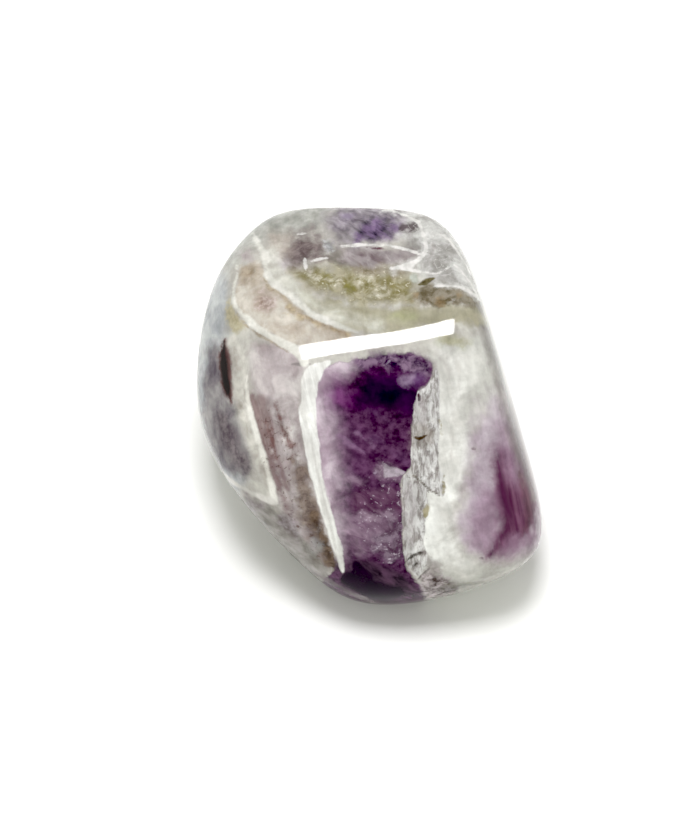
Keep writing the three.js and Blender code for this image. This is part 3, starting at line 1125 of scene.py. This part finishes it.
               (9.6, 7.4), (10.5, 9.5), (9, 12.5), (6.5, 15)), S.THROUGH),
    )),
    Layer("beige", Tone("#d6d0c7", "#bbafa1", F.CLOUD, 0.35, 0.15), (
        Patch(((-9.8, 10.4), (-9.2, 10.6), (-8.3, 10.9), (-7.8, 10.2), (-7.7, 9), (-6.4, 8.2),
               (-5.6, 7.6), (-5, 7), (-3.8, 6.4), (-1.2, 5.4), (-1, 5.1), (-3.2, 4.6),
               (-5.2, 4.5), (-6.5, 4.9), (-8, 5.7), (-9.4, 6.5), (-10.1, 7.6), (-10.3, 8.4),
               (-10, 9.2))),
    )),
    Layer("pink", Tone("#d2c4c1", "#93796e", F.GRAIN, 0.9, 0.3, strength=0.8), (
        Patch(((-8.6, 8.6), (-7.6, 8.6), (-6.9, 7.9), (-7.2, 7.2), (-8.2, 7.2), (-8.8, 7.9))),
    )),
    Layer("tan_slope", Tone("#c3b598", "#907857", F.GRAIN, 0.6, 0.25, strength=0.85), (
        Vein(((-6.4, 7.6, 0.2), (-5.2, 6.7, 0.3), (-4, 6.2, 0.25), (-2.8, 5.8, 0.2),
              (-1.8, 5.4, 0.08))),
    )),
    Layer("ochre", Tone("#ae9f8b", "#7a6342", F.FLECK, 0.7, 0.25, strength=0.7), (
        Patch(((-9.9, 10.5), (-8.5, 10.6), (-8.4, 9.6), (-9.6, 9.3))),
        Vein(((-7.3, 8.6, 0.12), (-6, 7.95, 0.25), (-5, 6.9, 0.25), (-3.6, 6.2, 0.22),
              (-2.2, 5.6, 0.12))),
    )),
    Layer("sage_mauve", Tone("#b8acaf", "#a49799", F.GRAIN, 0.7, 0.3, strength=0.75), (
        Patch(((-9.9, 11.4), (-9.2, 11.9), (-8.9, 11), (-9.5, 10.7))),
    )),
    Layer("lilac_grey", Tone("#c5bebf", "#a19a9a", F.CLOUD, 0.8, 0.3), (
        Patch(((-7.3, 11.7), (-6.4, 12), (-5.9, 11.2), (-5, 10.4), (-5.2, 9.6), (-6.4, 9.9),
               (-7.1, 10.6))),
    )),
    Layer("green_white", Tone("#b4b09d", "#a29d88", F.CLOUD, 0.7, 0.3), (
        Patch(((-5.6, 8.8), (-3.6, 8.2), (-1, 7.5), (2, 7.4), (3.6, 7.3), (6, 7.6), (8.3, 7.6),
               (9.4, 6.4), (8, 5.8), (6.5, 6.2), (4, 6), (0, 5.2), (-1, 5.4), (-3.4, 6.6),
               (-4.9, 7.3))),
    )),
    Layer("olive_tint", Tone("#b3b590", "#9fa07a", F.CLOUD, 0.9, 0.3, strength=0.7), (
        Patch(((1.4, 7.1), (2.6, 7.1), (3.6, 6.7), (3, 6.3), (1.8, 6.4))),
    )),
    Layer("olive", Tone("#b0aa94", "#837b56", F.FLECK, 1.5, 0.4), (
        Patch(((-6.2, 10.2), (-5, 10.3), (-3.5, 10.7), (-2, 10.6), (-0.5, 10.4), (1.4, 10.3),
               (2.2, 10), (3.2, 9.7), (3.6, 9), (3.4, 8.2), (3.4, 7.6), (2.8, 7.4), (1, 7.6),
               (-0.8, 7.6), (-2, 7.9), (-3.6, 8.3), (-5.2, 9), (-6.1, 9.6))),
    )),
    Layer("umber_top", Tone("#a29889", "#796d58", F.FLECK, 0.7, 0.3, strength=0.8), (
        Patch(((-1.2, 10.6), (1, 10.8), (2.6, 10.4), (2.4, 9.7), (0.2, 9.9), (-1.4, 10.1))),
    )),
    Layer("olive_specks",
        Tone("#e6e1d3", "#d6cdb6", F.SPECK, 0.9, 0.3, strength=0.6, sparse=True), (
        Patch(((-5.4, 10.3), (-3.5, 10.9), (-0.5, 10.8), (1.6, 10.4), (3.4, 9.4), (3.4, 8.2),
               (1, 7.8), (-0.8, 7.6), (-2.6, 8.3), (-4.6, 9.3))),
    )),
    Layer("froth", Tone("#e6e2d4", "#cdc7b0", F.FLECK, 0.6, 0.5, strength=0.6, sparse=True), (
        Vein(((-4.4, 9.8, 0.1), (-3.3, 9.5, 0.28), (-2, 9.2, 0.12))),
        Vein(((-0.7, 9.5, 0.1), (0.2, 9.2, 0.22), (0.9, 8.8, 0.1))),
    )),
    Layer("green_spots", Tone("#8d884b", "#6f6b2f", F.GRAIN, 0.6, 0.2, strength=0.85), (
        Patch(((-2.1, 9.1), (-1.5, 9.2), (-1.3, 8.7), (-1.8, 8.5))),
        Patch(((-3.5, 10), (-2.9, 10), (-2.9, 9.6), (-3.5, 9.6))),
    )),
    Layer("umber", Tone("#989082", "#62573f", F.FLECK, 0.5, 0.3, strength=0.95), (
        Patch(((3.6, 9), (5, 9), (6.6, 8.8), (7.6, 8.4), (8.2, 7.9), (7.5, 7.3), (6.2, 7.6),
               (5, 7.5), (3.5, 7.6))),
    )),
    Layer("rust", Tone("#a08c70", "#7d6a50", F.GRAIN, 0.5, 0.2, strength=0.8), (
        Patch(((4.9, 8), (5.4, 8.1), (5.5, 7.6), (5, 7.5))),
        Patch(((3.1, 8.4), (3.5, 8.4), (3.5, 8), (3.1, 8))),
        Patch(((6.3, 8.5), (6.9, 8.5), (6.9, 8.1), (6.4, 8.1))),
    )),
    Layer("ash_purple", Tone("#897c7c", "#5b4b4e", F.FLECK, 1.4, 0.5, strength=0.95), (
        Patch(((-6.7, 12.3), (-5.4, 13), (-4.1, 13.1), (-3.3, 12.7), (-2.9, 11.9), (-3.4, 11),
               (-4.6, 10.6), (-5.8, 10.7), (-6.7, 11.4))),
    )),
    Layer("grey_gap", Tone("#8d8681", "#6c6560", F.CLOUD, 0.7, 0.25, strength=0.9), (
        Patch(((-3.1, 12), (-1.5, 11.9), (-0.9, 11), (-1.9, 10.5), (-3.1, 10.8))),
    )),
    Layer("blush", Tone("#cec7bd", "#aa9e96", F.CLOUD, 1.2, 0.3, strength=0.8), (
        Patch(((-8, 13), (-6.5, 13.2), (-5.8, 12.6), (-6, 11.4), (-7, 11), (-7.4, 11.6))),
    )),
    Layer("frost_blue", Tone("#cfd0d2", "#8d8d90", F.GRAIN, 0.4, 0.2, strength=0.85), (
        Patch(((-3.7, 12.6), (-2.8, 12.5), (-2.6, 11.7), (-3.2, 11.4), (-3.6, 11.9))),
    )),
    Layer("mauve_field", Tone("#aba3a4", "#79696e", F.WISP, 0.9, 0.25), (
        Patch(((-1.6, 11.8), (0, 11.9), (1.8, 11.8), (3, 11.6), (3.9, 11.3), (3.4, 11),
               (2.6, 10.8), (1.4, 10.7), (-0.4, 10.5), (-1.6, 10.7), (-2.2, 11.2))),
    )),
    Layer("violet_field", Tone("#b5adb5", "#6c636d", F.WISP, 1.8, 0.4), (
        Patch(((-3.4, 13.2), (-3, 14.8), (-1.4, 15.8), (0.5, 16.1), (2.6, 15.6), (3, 14.4),
               (2.4, 13.2), (2, 12.5), (0.5, 12.2), (-2, 12.2), (-2.8, 12.6))),
    )),
    Layer("violet", Tone("#867092", "#08011f", F.WISP, 1, 0.4), (
        Patch(((-1.3, 12.9), (-0.6, 13.7), (0.5, 14.1), (1.6, 14), (2.1, 13.4), (1.5, 12.9),
               (1, 12.4), (0.2, 12.3), (-0.6, 12.4))),
    )),
    Layer("violet_tint", Tone("#a191ae", "#8e7c9b", F.CLOUD, 0.7, 0.2, strength=0.7), (
        Patch(((-2.3, 14.3), (-1.4, 14.5), (-1.2, 14), (-2, 13.8))),
    )),
    Layer("grey_bar", Tone("#63585c", "#584d50", F.GRAIN, 0.35, 0.12, strength=0.9), (
        Patch(((2.2, 13.6), (3, 13.75), (3.7, 13.65), (3.6, 13), (2.8, 12.95), (2.1, 13.1))),
    )),
    Layer("vein_edges", Tone("#b3a793", "#846f57", F.GRAIN, 0.18, 0.1, strength=0.75), (
        Vein(((-7.9, 9.6, 0.05), (-7.7, 8.8, 0.1), (-7, 8.6, 0.12), (-6.4, 8.2, 0.12),
              (-5.9, 8.1, 0.1), (-5.5, 7.7, 0.12), (-5.1, 7.1, 0.1), (-4.4, 6.8, 0.1),
              (-3.9, 6.5, 0.1), (-2.6, 5.9, 0.09), (-1.2, 5.4, 0.05))),
        Vein(((-10.3, 7.6, 0.04), (-9.6, 6.2, 0.09), (-8.4, 5.3, 0.09), (-7.2, 4.7, 0.08),
              (-6.2, 4.1, 0.04))),
    )),
    Layer("vein_glow", Tone("#eae9e3", "#d4d2c6", F.CLOUD, 1.3, 0.2, strength=0.85), (
        Vein(((-7.4, 11.4, 0.3), (-7.3, 10.2, 0.35), (-6.7, 9.5, 0.4), (-5.8, 8.9, 0.45),
              (-4.9, 8.1, 0.5), (-3.9, 7.4, 0.5), (-2.6, 6.8, 0.5), (-1, 6.2, 0.45),
              (0.5, 5.7, 0.3))),
    )),
    Layer("first_vein", Tone("#f0efe9", "#dad7ce", F.CLOUD, 0.22, 0.08), (
        Vein(((-10.03, 10.48, 0.06), (-9.94, 9.83, 0.1), (-10.22, 9.08, 0.12),
              (-10.28, 8.42, 0.14), (-10.16, 7.39, 0.16), (-9.47, 6.64, 0.2), (-8.44, 5.79, 0.24),
              (-7.31, 5.04, 0.26), (-6, 4.39, 0.3), (-5.25, 3.92, 0.34), (-5, 3.3, 0.3))),
    )),
    Layer("second_vein", Tone("#e8e6e1", "#d6d4cc", F.CLOUD, 0.3, 0.12), (
        Vein(((-8.72, 12.83, 0.08), (-8.34, 12.08, 0.18), (-7.88, 11.42, 0.27),
              (-7.69, 10.95, 0.28), (-7.88, 10.39, 0.24), (-7.5, 9.45, 0.24), (-6.94, 8.89, 0.24),
              (-6, 8.33, 0.25), (-5.44, 7.76, 0.28), (-4.69, 7.01, 0.28), (-3.56, 6.45, 0.25),
              (-2.25, 5.89, 0.22), (-0.75, 5.42, 0.14))),
    )),
    Layer("fracture_net", Tone("#dedddb", "#c3c1be", F.GRAIN, 0.5, 0.2, strength=0.7), (
        Vein(((3.6, 14.4, 0.1), (4, 13.7, 0.25), (3.9, 13, 0.3), (4.2, 12.4, 0.3),
              (4.2, 11.8, 0.32), (4, 11.2, 0.3), (3.4, 10.7, 0.25), (2.2, 10.5, 0.2),
              (1.4, 10.4, 0.1))),
        Vein(((1.5, 10.5, 0.12), (1.8, 10.1, 0.16), (1.95, 9.8, 0.06))),
        Vein(((4.9, 9.1, 0.06), (6, 9.05, 0.12), (7, 8.9, 0.12), (7.6, 8.4, 0.1), (8, 8, 0.05))),
        Vein(((2.2, 12.8, 0.1), (3.2, 12.6, 0.2), (4, 12.8, 0.1))),
        Vein(((0.7, 14.5, 0.08), (1.4, 14.8, 0.15), (2.8, 14.3, 0.15), (3.6, 14.2, 0.1))),
        Vein(((4.1, 11.6, 0.15), (5, 11.4, 0.18), (6, 10.8, 0.14), (6.9, 10.4, 0.06))),
        Vein(((4.2, 12.5, 0.15), (5.2, 12.9, 0.16), (6, 12.4, 0.08))),
    )),
    Layer("net_threads",
        Tone("#f2f1ef", "#e0dedb", F.THREAD, 1, 0.3, strength=0.35, sparse=True), (
        Patch(((2.6, 14.6), (3.4, 12.4), (4, 10.8), (5, 9.6), (7.4, 9), (8.6, 7.6), (10.5, 9.5),
               (9, 12.5), (6.5, 15)), S.THROUGH),
    )),
    Layer("net_shadow", Tone("#a59e9d", "#908988", F.GRAIN, 0.3, 0.12, strength=0.6), (
        Vein(((7.2, 11, 0.05), (7.8, 10, 0.1), (8.2, 9, 0.05))),
        Vein(((4.7, 12.2, 0.04), (4.75, 11.8, 0.1), (4.4, 10.9, 0.08), (3.8, 10.3, 0.04))),
    )),
    Layer("chip_grey", Tone("#bec1b8", "#a5a89e", F.GRAIN, 0.3, 0.1), (
        Patch(((3, 9.8), (3.5, 9.9), (3.7, 9.4), (3.4, 9.1), (3.05, 9.3))),
    )),
    Layer("crown_chip", Tone("#7d7559", "#4e4631", F.GRAIN, 0.12, 0.04), (
        Patch(((3.5, 9.05), (3.9, 9.45), (4.4, 9.65), (4.9, 9.62), (4.5, 9.3),
               (4.1, 9.02)), sharp=True),
    ), sink=0.1),
    Layer("plum_line", Tone("#59293e", "#43192b", F.GRAIN, 0.14, 0.03, strength=0.9), (
        Vein(((-0.3, 11.9, 0.03), (0.4, 11.82, 0.09), (1.3, 11.8, 0.04))),
    )),
    Layer("snow", Tone("#ebe8e6", "#dedcd9", F.GRAIN, 0.12, 0.04), (
        Vein(((-2.2, 11.95, 0.05), (-1, 12.08, 0.09), (0.2, 12.08, 0.1), (1.4, 12.02, 0.1),
              (2.4, 11.82, 0.1), (3.2, 11.57, 0.09), (3.9, 11.28, 0.05))),
        Patch(((-5.1, 11.1), (-4.95, 10.2), (-4.7, 10.25), (-4.75, 11.15))),
        Vein(((-4.5, 10.85, 0.05), (-3.9, 11, 0.1), (-3.2, 11.1, 0.05))),
        Vein(((-5.6, 12.85, 0.04), (-4.9, 12.95, 0.09), (-4.3, 13.05, 0.04))),
        Vein(((6.1, 7.95, 0.08), (6.3, 7.95, 0.08))),
        Vein(((0.66, 14.5, 0.05), (1.3, 14.8, 0.08), (2.6, 14.3, 0.09), (3.66, 13.86, 0.12),
              (3.84, 13.2, 0.13), (4.16, 12.26, 0.13), (4.2, 11.6, 0.15), (3.75, 11.04, 0.17),
              (3.1, 10.58, 0.17), (2.06, 10.39, 0.15), (1.5, 10.3, 0.08))),
        Vein(((4.88, 8.98, 0.05), (6.4, 9.04, 0.08), (7.1, 8.7, 0.1), (7.9, 8.3, 0.12),
              (8.25, 7.86, 0.06))),
        Vein(((2.06, 10.35, 0.07), (3.56, 10.1, 0.09), (4.88, 9.86, 0.09), (5.6, 10.2, 0.07),
              (6.2, 10.67, 0.05), (6.75, 10.2, 0.05), (7.5, 9.26, 0.06), (8.06, 8.3, 0.05))),
        Vein(((4.3, 12.5, 0.06), (5.2, 13, 0.07), (6, 12.4, 0.05), (6.9, 11, 0.05),
              (7.6, 9.8, 0.04))),
    )),
)

# A border is frayed by its tone's figure over this share of its softness, up to this width.
FRAY = 0.6
MOST_FRAY = 0.3
# The darkest and palest surface colour that is used.
SHADE_LIMITS = (0.002, 0.9)
# The quartz is this dark where no figure clouds it, and each figure lightens it by its share.
UNCLOUDED = 0.8
CLOUDING = {F.STREAK: 0.13, F.CLOUD: 0.12, F.GRAIN: 0.13}
# Where mist shows, wisps lighten it too.
MIST = Weave(0.7, 3.0, 0.5, 0.0, 0.5, 0.68)
MISTED = 0.16
# Faint wear in the polish.
SCUFFS = Weave(6.0, 4.0, 0.7, 0.0, 0.45, 0.75)
# The noise that moves the tones' borders, with its gain, and the noise that waves the
# polish: each as its scale, detail and roughness.
DRIFT = (0.8, 6.0, 0.56)
DRIFT_GAIN = 6.0
WAVES = (2.3, 5.0, 0.68)


@dataclass(frozen=True)
class Amethyst:
    """The polished quartz finish: layered tones, fine figure and a hard clear gloss.

    gain is how much lighter the studio light shows a colour than the surface is.
    """

    gain: float = 1.5
    ior: float = 1.544
    gloss: float = 0.2
    polish: float = 0.03
    scuffed: float = 0.02
    wave_strength: float = 0.02
    wave_height: float = 0.00004
    glow_weight: float = 0.12
    glow_radius: float = 0.5

    def dress(self, finish: bpy.types.Material, middle: np.ndarray) -> None:
        """Build the finish's nodes.

        Args:
            finish: The material to build in.
            middle: The stone's own middle in the frame of the scene, in metres.
        """
        bench = Bench.cleared(finish)
        own = self.own_place(bench, middle)
        figures = {figure: figure.value.woven(bench, own) for figure in Figure}
        drift = (bench.noise(own, *DRIFT) - 0.5) * DRIFT_GAIN
        colour, matt = self.layered(bench, figures, drift)
        scuffs = SCUFFS.woven(bench, own)
        wave = {
            "Strength": self.wave_strength,
            "Distance": self.wave_height,
            "Height": bench.noise(own, *WAVES) + scuffs,
        }
        shader = bench.node(
            "ShaderNodeBsdfPrincipled",
            {"subsurface_method": "BURLEY"},
            {
                "Base Color": self.clouded(bench, own, figures, colour),
                "Roughness": scuffs * self.scuffed + matt + self.polish,
                "Normal": bench.node("ShaderNodeBump", {}, wave).outputs[0],
                "IOR": self.ior,
                "Specular IOR Level": self.gloss,
                "Subsurface Weight": self.glow_weight,
                "Subsurface Radius": (self.glow_radius,) * 3,
                "Subsurface Scale": MM,
            },
        )
        bench.node("ShaderNodeOutputMaterial", {}, {"Surface": shader.outputs[0]})

    @staticmethod
    def own_place(bench: Bench, middle: np.ndarray) -> Vec:
        """Give each point's place in the stone's own frame, in millimetres.

        Args:
            bench: The tree in hand.
            middle: The stone's own middle, in metres.

        Returns:
            The place.
        """
        laid = {
            "Vector": bench.node("ShaderNodeTexCoord").outputs["Object"],
            "Location": tuple(-to_own(middle[None])[0]),
            "Rotation": (-TIP, 0.0, 0.0),
            "Scale": (1 / MM,) * 3,
        }
        return bench.vec("ShaderNodeMapping", {}, laid)

    @staticmethod
    def clouded(bench: Bench, own: Vec, figures: dict[Figure, Value], colour: Vec) -> Vec:
        """Cloud the quartz unevenly all through, with wisps where there is mist.

        Args:
            bench: The tree in hand.
            own: The place in the stone's own frame.
            figures: The fine patterns.
            colour: The layered tones.

        Returns:
            The clouded colour.
        """
        light = figures[F.WISP] * MIST.woven(bench, own) * MISTED + UNCLOUDED
        for figure, share in CLOUDING.items():
            light = figures[figure].scaled_onto(share, light)
        return colour * light

    def layered(
        self, bench: Bench, figures: dict[Figure, Value], drift: Value
    ) -> tuple[Vec, Value | float]:
        """Lay the tones over each other in the order of the layers.

        Args:
            bench: The tree in hand.
            figures: The fine patterns.
            drift: Signed noise that moves the borders.

        Returns:
            The colour, and how much rougher than the polish the surface is.
        """
        colour = self.shade(bench, MILK, figures)
        matt: Value | float = 0.0
        masks: dict[str, Value] = {}
        for layer in LAYERS:
            tone = layer.tone
            fray = min(tone.edge * FRAY, MOST_FRAY)
            inside = bench.node("ShaderNodeAttribute", {"attribute_name": layer.name})
            edge = drift.scaled_onto(tone.wander, inside.outputs["Fac"])
            edge = figures[tone.figure].scaled_onto(fray, edge)
            mask = edge.ramp((fray - tone.edge) / 2, (fray + tone.edge) / 2, tone.strength)
            if tone.sparse:
                mask = mask * figures[tone.figure]
            if layer.within:
                mask = mask * masks[layer.within]
            masks[layer.name] = mask
            colour = bench.mix(mask, colour, self.shade(bench, tone, figures))
            if layer.matt:
                matt = mask * layer.matt + matt
        return colour, matt

    def shade(self, bench: Bench, tone: Tone, figures: dict[Figure, Value]) -> Vec:
        """Mix a tone's two shades by its figure."""
        return bench.mix(figures[tone.figure], self.bare(tone.deep), self.bare(tone.pale))

    def bare(self, shade: str) -> tuple[float, float, float, float]:
        """Give the surface colour that shows as a shade under the light.

        Args:
            shade: The shade as #rrggbb.

        Returns:
            The linear colour with alpha 1.
        """
        # The numbers are those of the sRGB curve.
        parts = np.array([int(shade[i : i + 2], 16) / 255 for i in (1, 3, 5)])
        light = np.where(parts <= 0.04045, parts / 12.92, ((parts + 0.055) / 1.055) ** 2.4)
        return (*np.clip(light / self.gain, *SHADE_LIMITS).tolist(), 1.0)


def to_own(place: np.ndarray) -> np.ndarray:
    """Turn points into the stone's own frame.

    Args:
        place: The points about the stone's middle as it lies, in metres.

    Returns:
        The same points in its own frame, in millimetres.
    """
    x, y, z = place.T / MM
    cos, sin = math.cos(TIP), math.sin(TIP)
    return np.stack([x, y * cos + z * sin, z * cos - y * sin], 1)


@dataclass
class TumbledAmethyst:
    """The whole stone: its worn skin with the quartz drawn in it.

    The skin dips to the depth of a layer's sink over the first bowl millimetres inside it.
    """

    form: WornForm
    finish: Amethyst
    bowl: float = 0.15

    def build(self) -> tuple[bpy.types.Object, np.ndarray]:
        """Make the stone, fitted to its solid.

        Returns:
            The stone's object, at the origin, and the stone's own middle in metres.
        """
        finish = bpy.data.materials.new("amethyst")
        skin = self.form.mesh(finish)
        skin.name = "amethyst_stone"
        place, middle = self.fitted(skin)
        normals = np.empty((len(place), 3), np.float32)
        skin.vertex_normals.foreach_get("vector", normals.ravel())
        own = np.hstack([to_own(place - middle), to_own(normals)[:, 2:] * MM])
        sunk = np.zeros(len(place))
        for layer in LAYERS:
            inside = layer.depth(own)
            held = skin.attributes.new(layer.name, "FLOAT", "POINT")
            held.data.foreach_set("value", inside.astype(np.float32))
            if layer.sink:
                bowl = np.clip(inside / self.bowl, 0, 1)
                sunk = np.maximum(sunk, layer.sink * bowl * bowl * (3 - 2 * bowl))
        place = place - normals * (sunk * MM)[:, None]
        skin.vertices.foreach_set("co", place.ravel())
        skin.update()
        self.finish.dress(finish, middle)
        stone = bpy.data.objects.new("amethyst_stone", skin)
        bpy.context.scene.collection.objects.link(stone)
        log.info("stone: %d faces, %d drawn layers", len(skin.polygons), len(LAYERS))
        return stone, middle

    @staticmethod
    def fitted(skin: bpy.types.Mesh) -> tuple[np.ndarray, np.ndarray]:
        """Set the skin exactly in its solid's box.

        Args:
            skin: The mesh about the stone's own middle.

        Returns:
            The points where they lie, and the stone's own middle, in metres.
        """
        place = np.empty((len(skin.vertices), 3))
        skin.vertices.foreach_get("co", place.ravel())
        low, high = place.min(0), place.max(0)
        box_low, box_high = (np.array(corner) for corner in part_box(NODE))
        scale = (box_high - box_low) / (high - low)
        return box_low + (place - low) * scale, box_low - low * scale


@dataclass(frozen=True)
class Lamp:
    """A rectangular lamp that hangs level over the stone.

    A gloss lamp is a bright card that shows only as a reflection, and any other lamp
    lights the stone and floor without showing in their polish.
    """

    name: str
    centre: tuple[float, float, float]
    size: tuple[float, float]
    radiance: float
    turn: float = 0.0
    gloss: bool = False
    tint: tuple[float, float, float] = (1.0, 0.995, 1.02)

    def hang(self) -> None:
        """Make the lamp."""
        light = bpy.data.lights.new(self.name, "AREA")
        light.shape = "RECTANGLE"
        light.size, light.size_y = self.size
        light.energy = self.radiance * math.pi * math.prod(self.size)
        light.color = self.tint
        lamp = bpy.data.objects.new(self.name, light)
        lamp.location = self.centre
        lamp.rotation_euler = (0.0, 0.0, math.radians(self.turn))
        lamp.visible_diffuse = not self.gloss
        lamp.visible_glossy = self.gloss
        bpy.context.scene.collection.objects.link(lamp)
        log.info("%s: %.0f by %.0f mm", self.name, *(side / MM for side in self.size))


LAMPS = (
    Lamp("softbox", (-0.01, 0.016, 0.34), (0.1, 0.1), 28.0),
    Lamp("card", (0.0365, -0.006, 0.31), (0.167, 0.112), 50.0, 8.0, gloss=True),
)


@dataclass
class StudioSet:
    """The pale floor, the soft light and the camera.

    The walls are lit up to an angle of wall_top, in degrees, and wall_blur softens their
    top. Nothing that is closer than nearest, in metres, shows in the camera, and its aim
    is moved off the stone's middle by sight_offset, right and up, in millimetres.
    """

    floor_size: float = 0.5
    floor_colour: tuple[float, float, float, float] = (0.8, 0.8, 0.79, 1.0)
    floor_roughness: float = 0.8
    floor_gloss: float = 0.2
    wall_light: tuple[float, float, float, float] = (1.12, 1.14, 1.05, 1.0)
    ceiling_light: tuple[float, float, float, float] = (0.35, 0.35, 0.37, 1.0)
    wall_top: float = 50.6
    wall_blur: float = 0.01
    lamps: tuple[Lamp, ...] = LAMPS
    lens: float = 150.0
    sensor: float = 36.0
    nearest: float = 0.01
    sight_offset: tuple[float, float] = (-1.5, -0.525)

    def build(self, middle: np.ndarray) -> None:
        """Make the whole set.

        Args:
            middle: The stone's own middle, in metres.
        """
        self.floor()
        self.walls()
        for lamp in self.lamps:
            lamp.hang()
        self.camera(middle)

    def floor(self) -> None:
        """Lay the floor under the stone."""
        half = self.floor_size / 2
        corners = [(-half, -half, 0), (half, -half, 0), (half, half, 0), (-half, half, 0)]
        sheet = bpy.data.meshes.new("floor")
        sheet.from_pydata(corners, [], [(0, 1, 2, 3)])
        finish = bpy.data.materials.new("pale_floor")
        bench = Bench.cleared(finish)
        look = {
            "Base Color": self.floor_colour,
            "Roughness": self.floor_roughness,
            "Specular IOR Level": self.floor_gloss,
        }
        shader = bench.node("ShaderNodeBsdfPrincipled", {}, look)
        bench.node("ShaderNodeOutputMaterial", {}, {"Surface": shader.outputs[0]})
        sheet.materials.append(finish)
        floor = bpy.data.objects.new("floor", sheet)
        bpy.context.scene.collection.objects.link(floor)
        log.info("floor: %.1f m square", self.floor_size)

    def walls(self) -> None:
        """Light the studio all round up to the walls' top, with a dim ceiling."""
        world = bpy.data.worlds.new("studio")
        bench = Bench.cleared(world)
        way = Vec(bench, bench.node("ShaderNodeTexCoord").outputs["Generated"])
        top = math.sin(math.radians(self.wall_top))
        rise = way.dot((0.0, 0.0, 1.0))
        over = rise.ramp(top - self.wall_blur, top + self.wall_blur)
        light = bench.mix(over, self.wall_light, self.ceiling_light)
        shader = bench.node("ShaderNodeBackground", {}, {"Color": light})
        bench.node("ShaderNodeOutputWorld", {}, {"Surface": shader.outputs[0]})
        bpy.context.scene.world = world
        log.info("walls: lit up to %.1f degrees", self.wall_top)

    def camera(self, middle: np.ndarray) -> None:
        """Stand the camera square on to the stone's front face.

        Args:
            middle: The stone's own middle, in metres.
        """
        lens = bpy.data.cameras.new("camera")
        lens.lens = self.lens
        lens.sensor_width = self.sensor
        lens.clip_start = self.nearest
        right, up = self.sight_offset
        cos, sin = math.cos(TIP), math.sin(TIP)
        step = np.array((right, up * cos - SIGHT * sin, up * sin + SIGHT * cos))
        camera = bpy.data.objects.new("camera", lens)
        camera.location = middle + step * MM
        camera.rotation_euler = (TIP, 0.0, 0.0)
        bpy.context.scene.collection.objects.link(camera)
        bpy.context.scene.camera = camera
        log.info("camera: %.0f mm from the stone's middle", SIGHT)


def develop(black: float = 0.035) -> None:
    """Set how the picture is developed: plain colours with deep blacks.

    Args:
        black: The light that shows as black.
    """
    view = bpy.context.scene.view_settings
    view.view_transform = "Standard"
    view.use_curve_mapping = True
    view.curve_mapping.black_level = (black, black, black)
    view.curve_mapping.update()


def main() -> None:
    """Build the stone and its studio."""
    logging.basicConfig(level=logging.INFO)
    develop()
    stone, middle = TumbledAmethyst(WornForm(), Amethyst()).build()
    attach(stone, "root")
    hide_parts(NODE)
    StudioSet().build(middle)


if __name__ == "__main__":
    main()
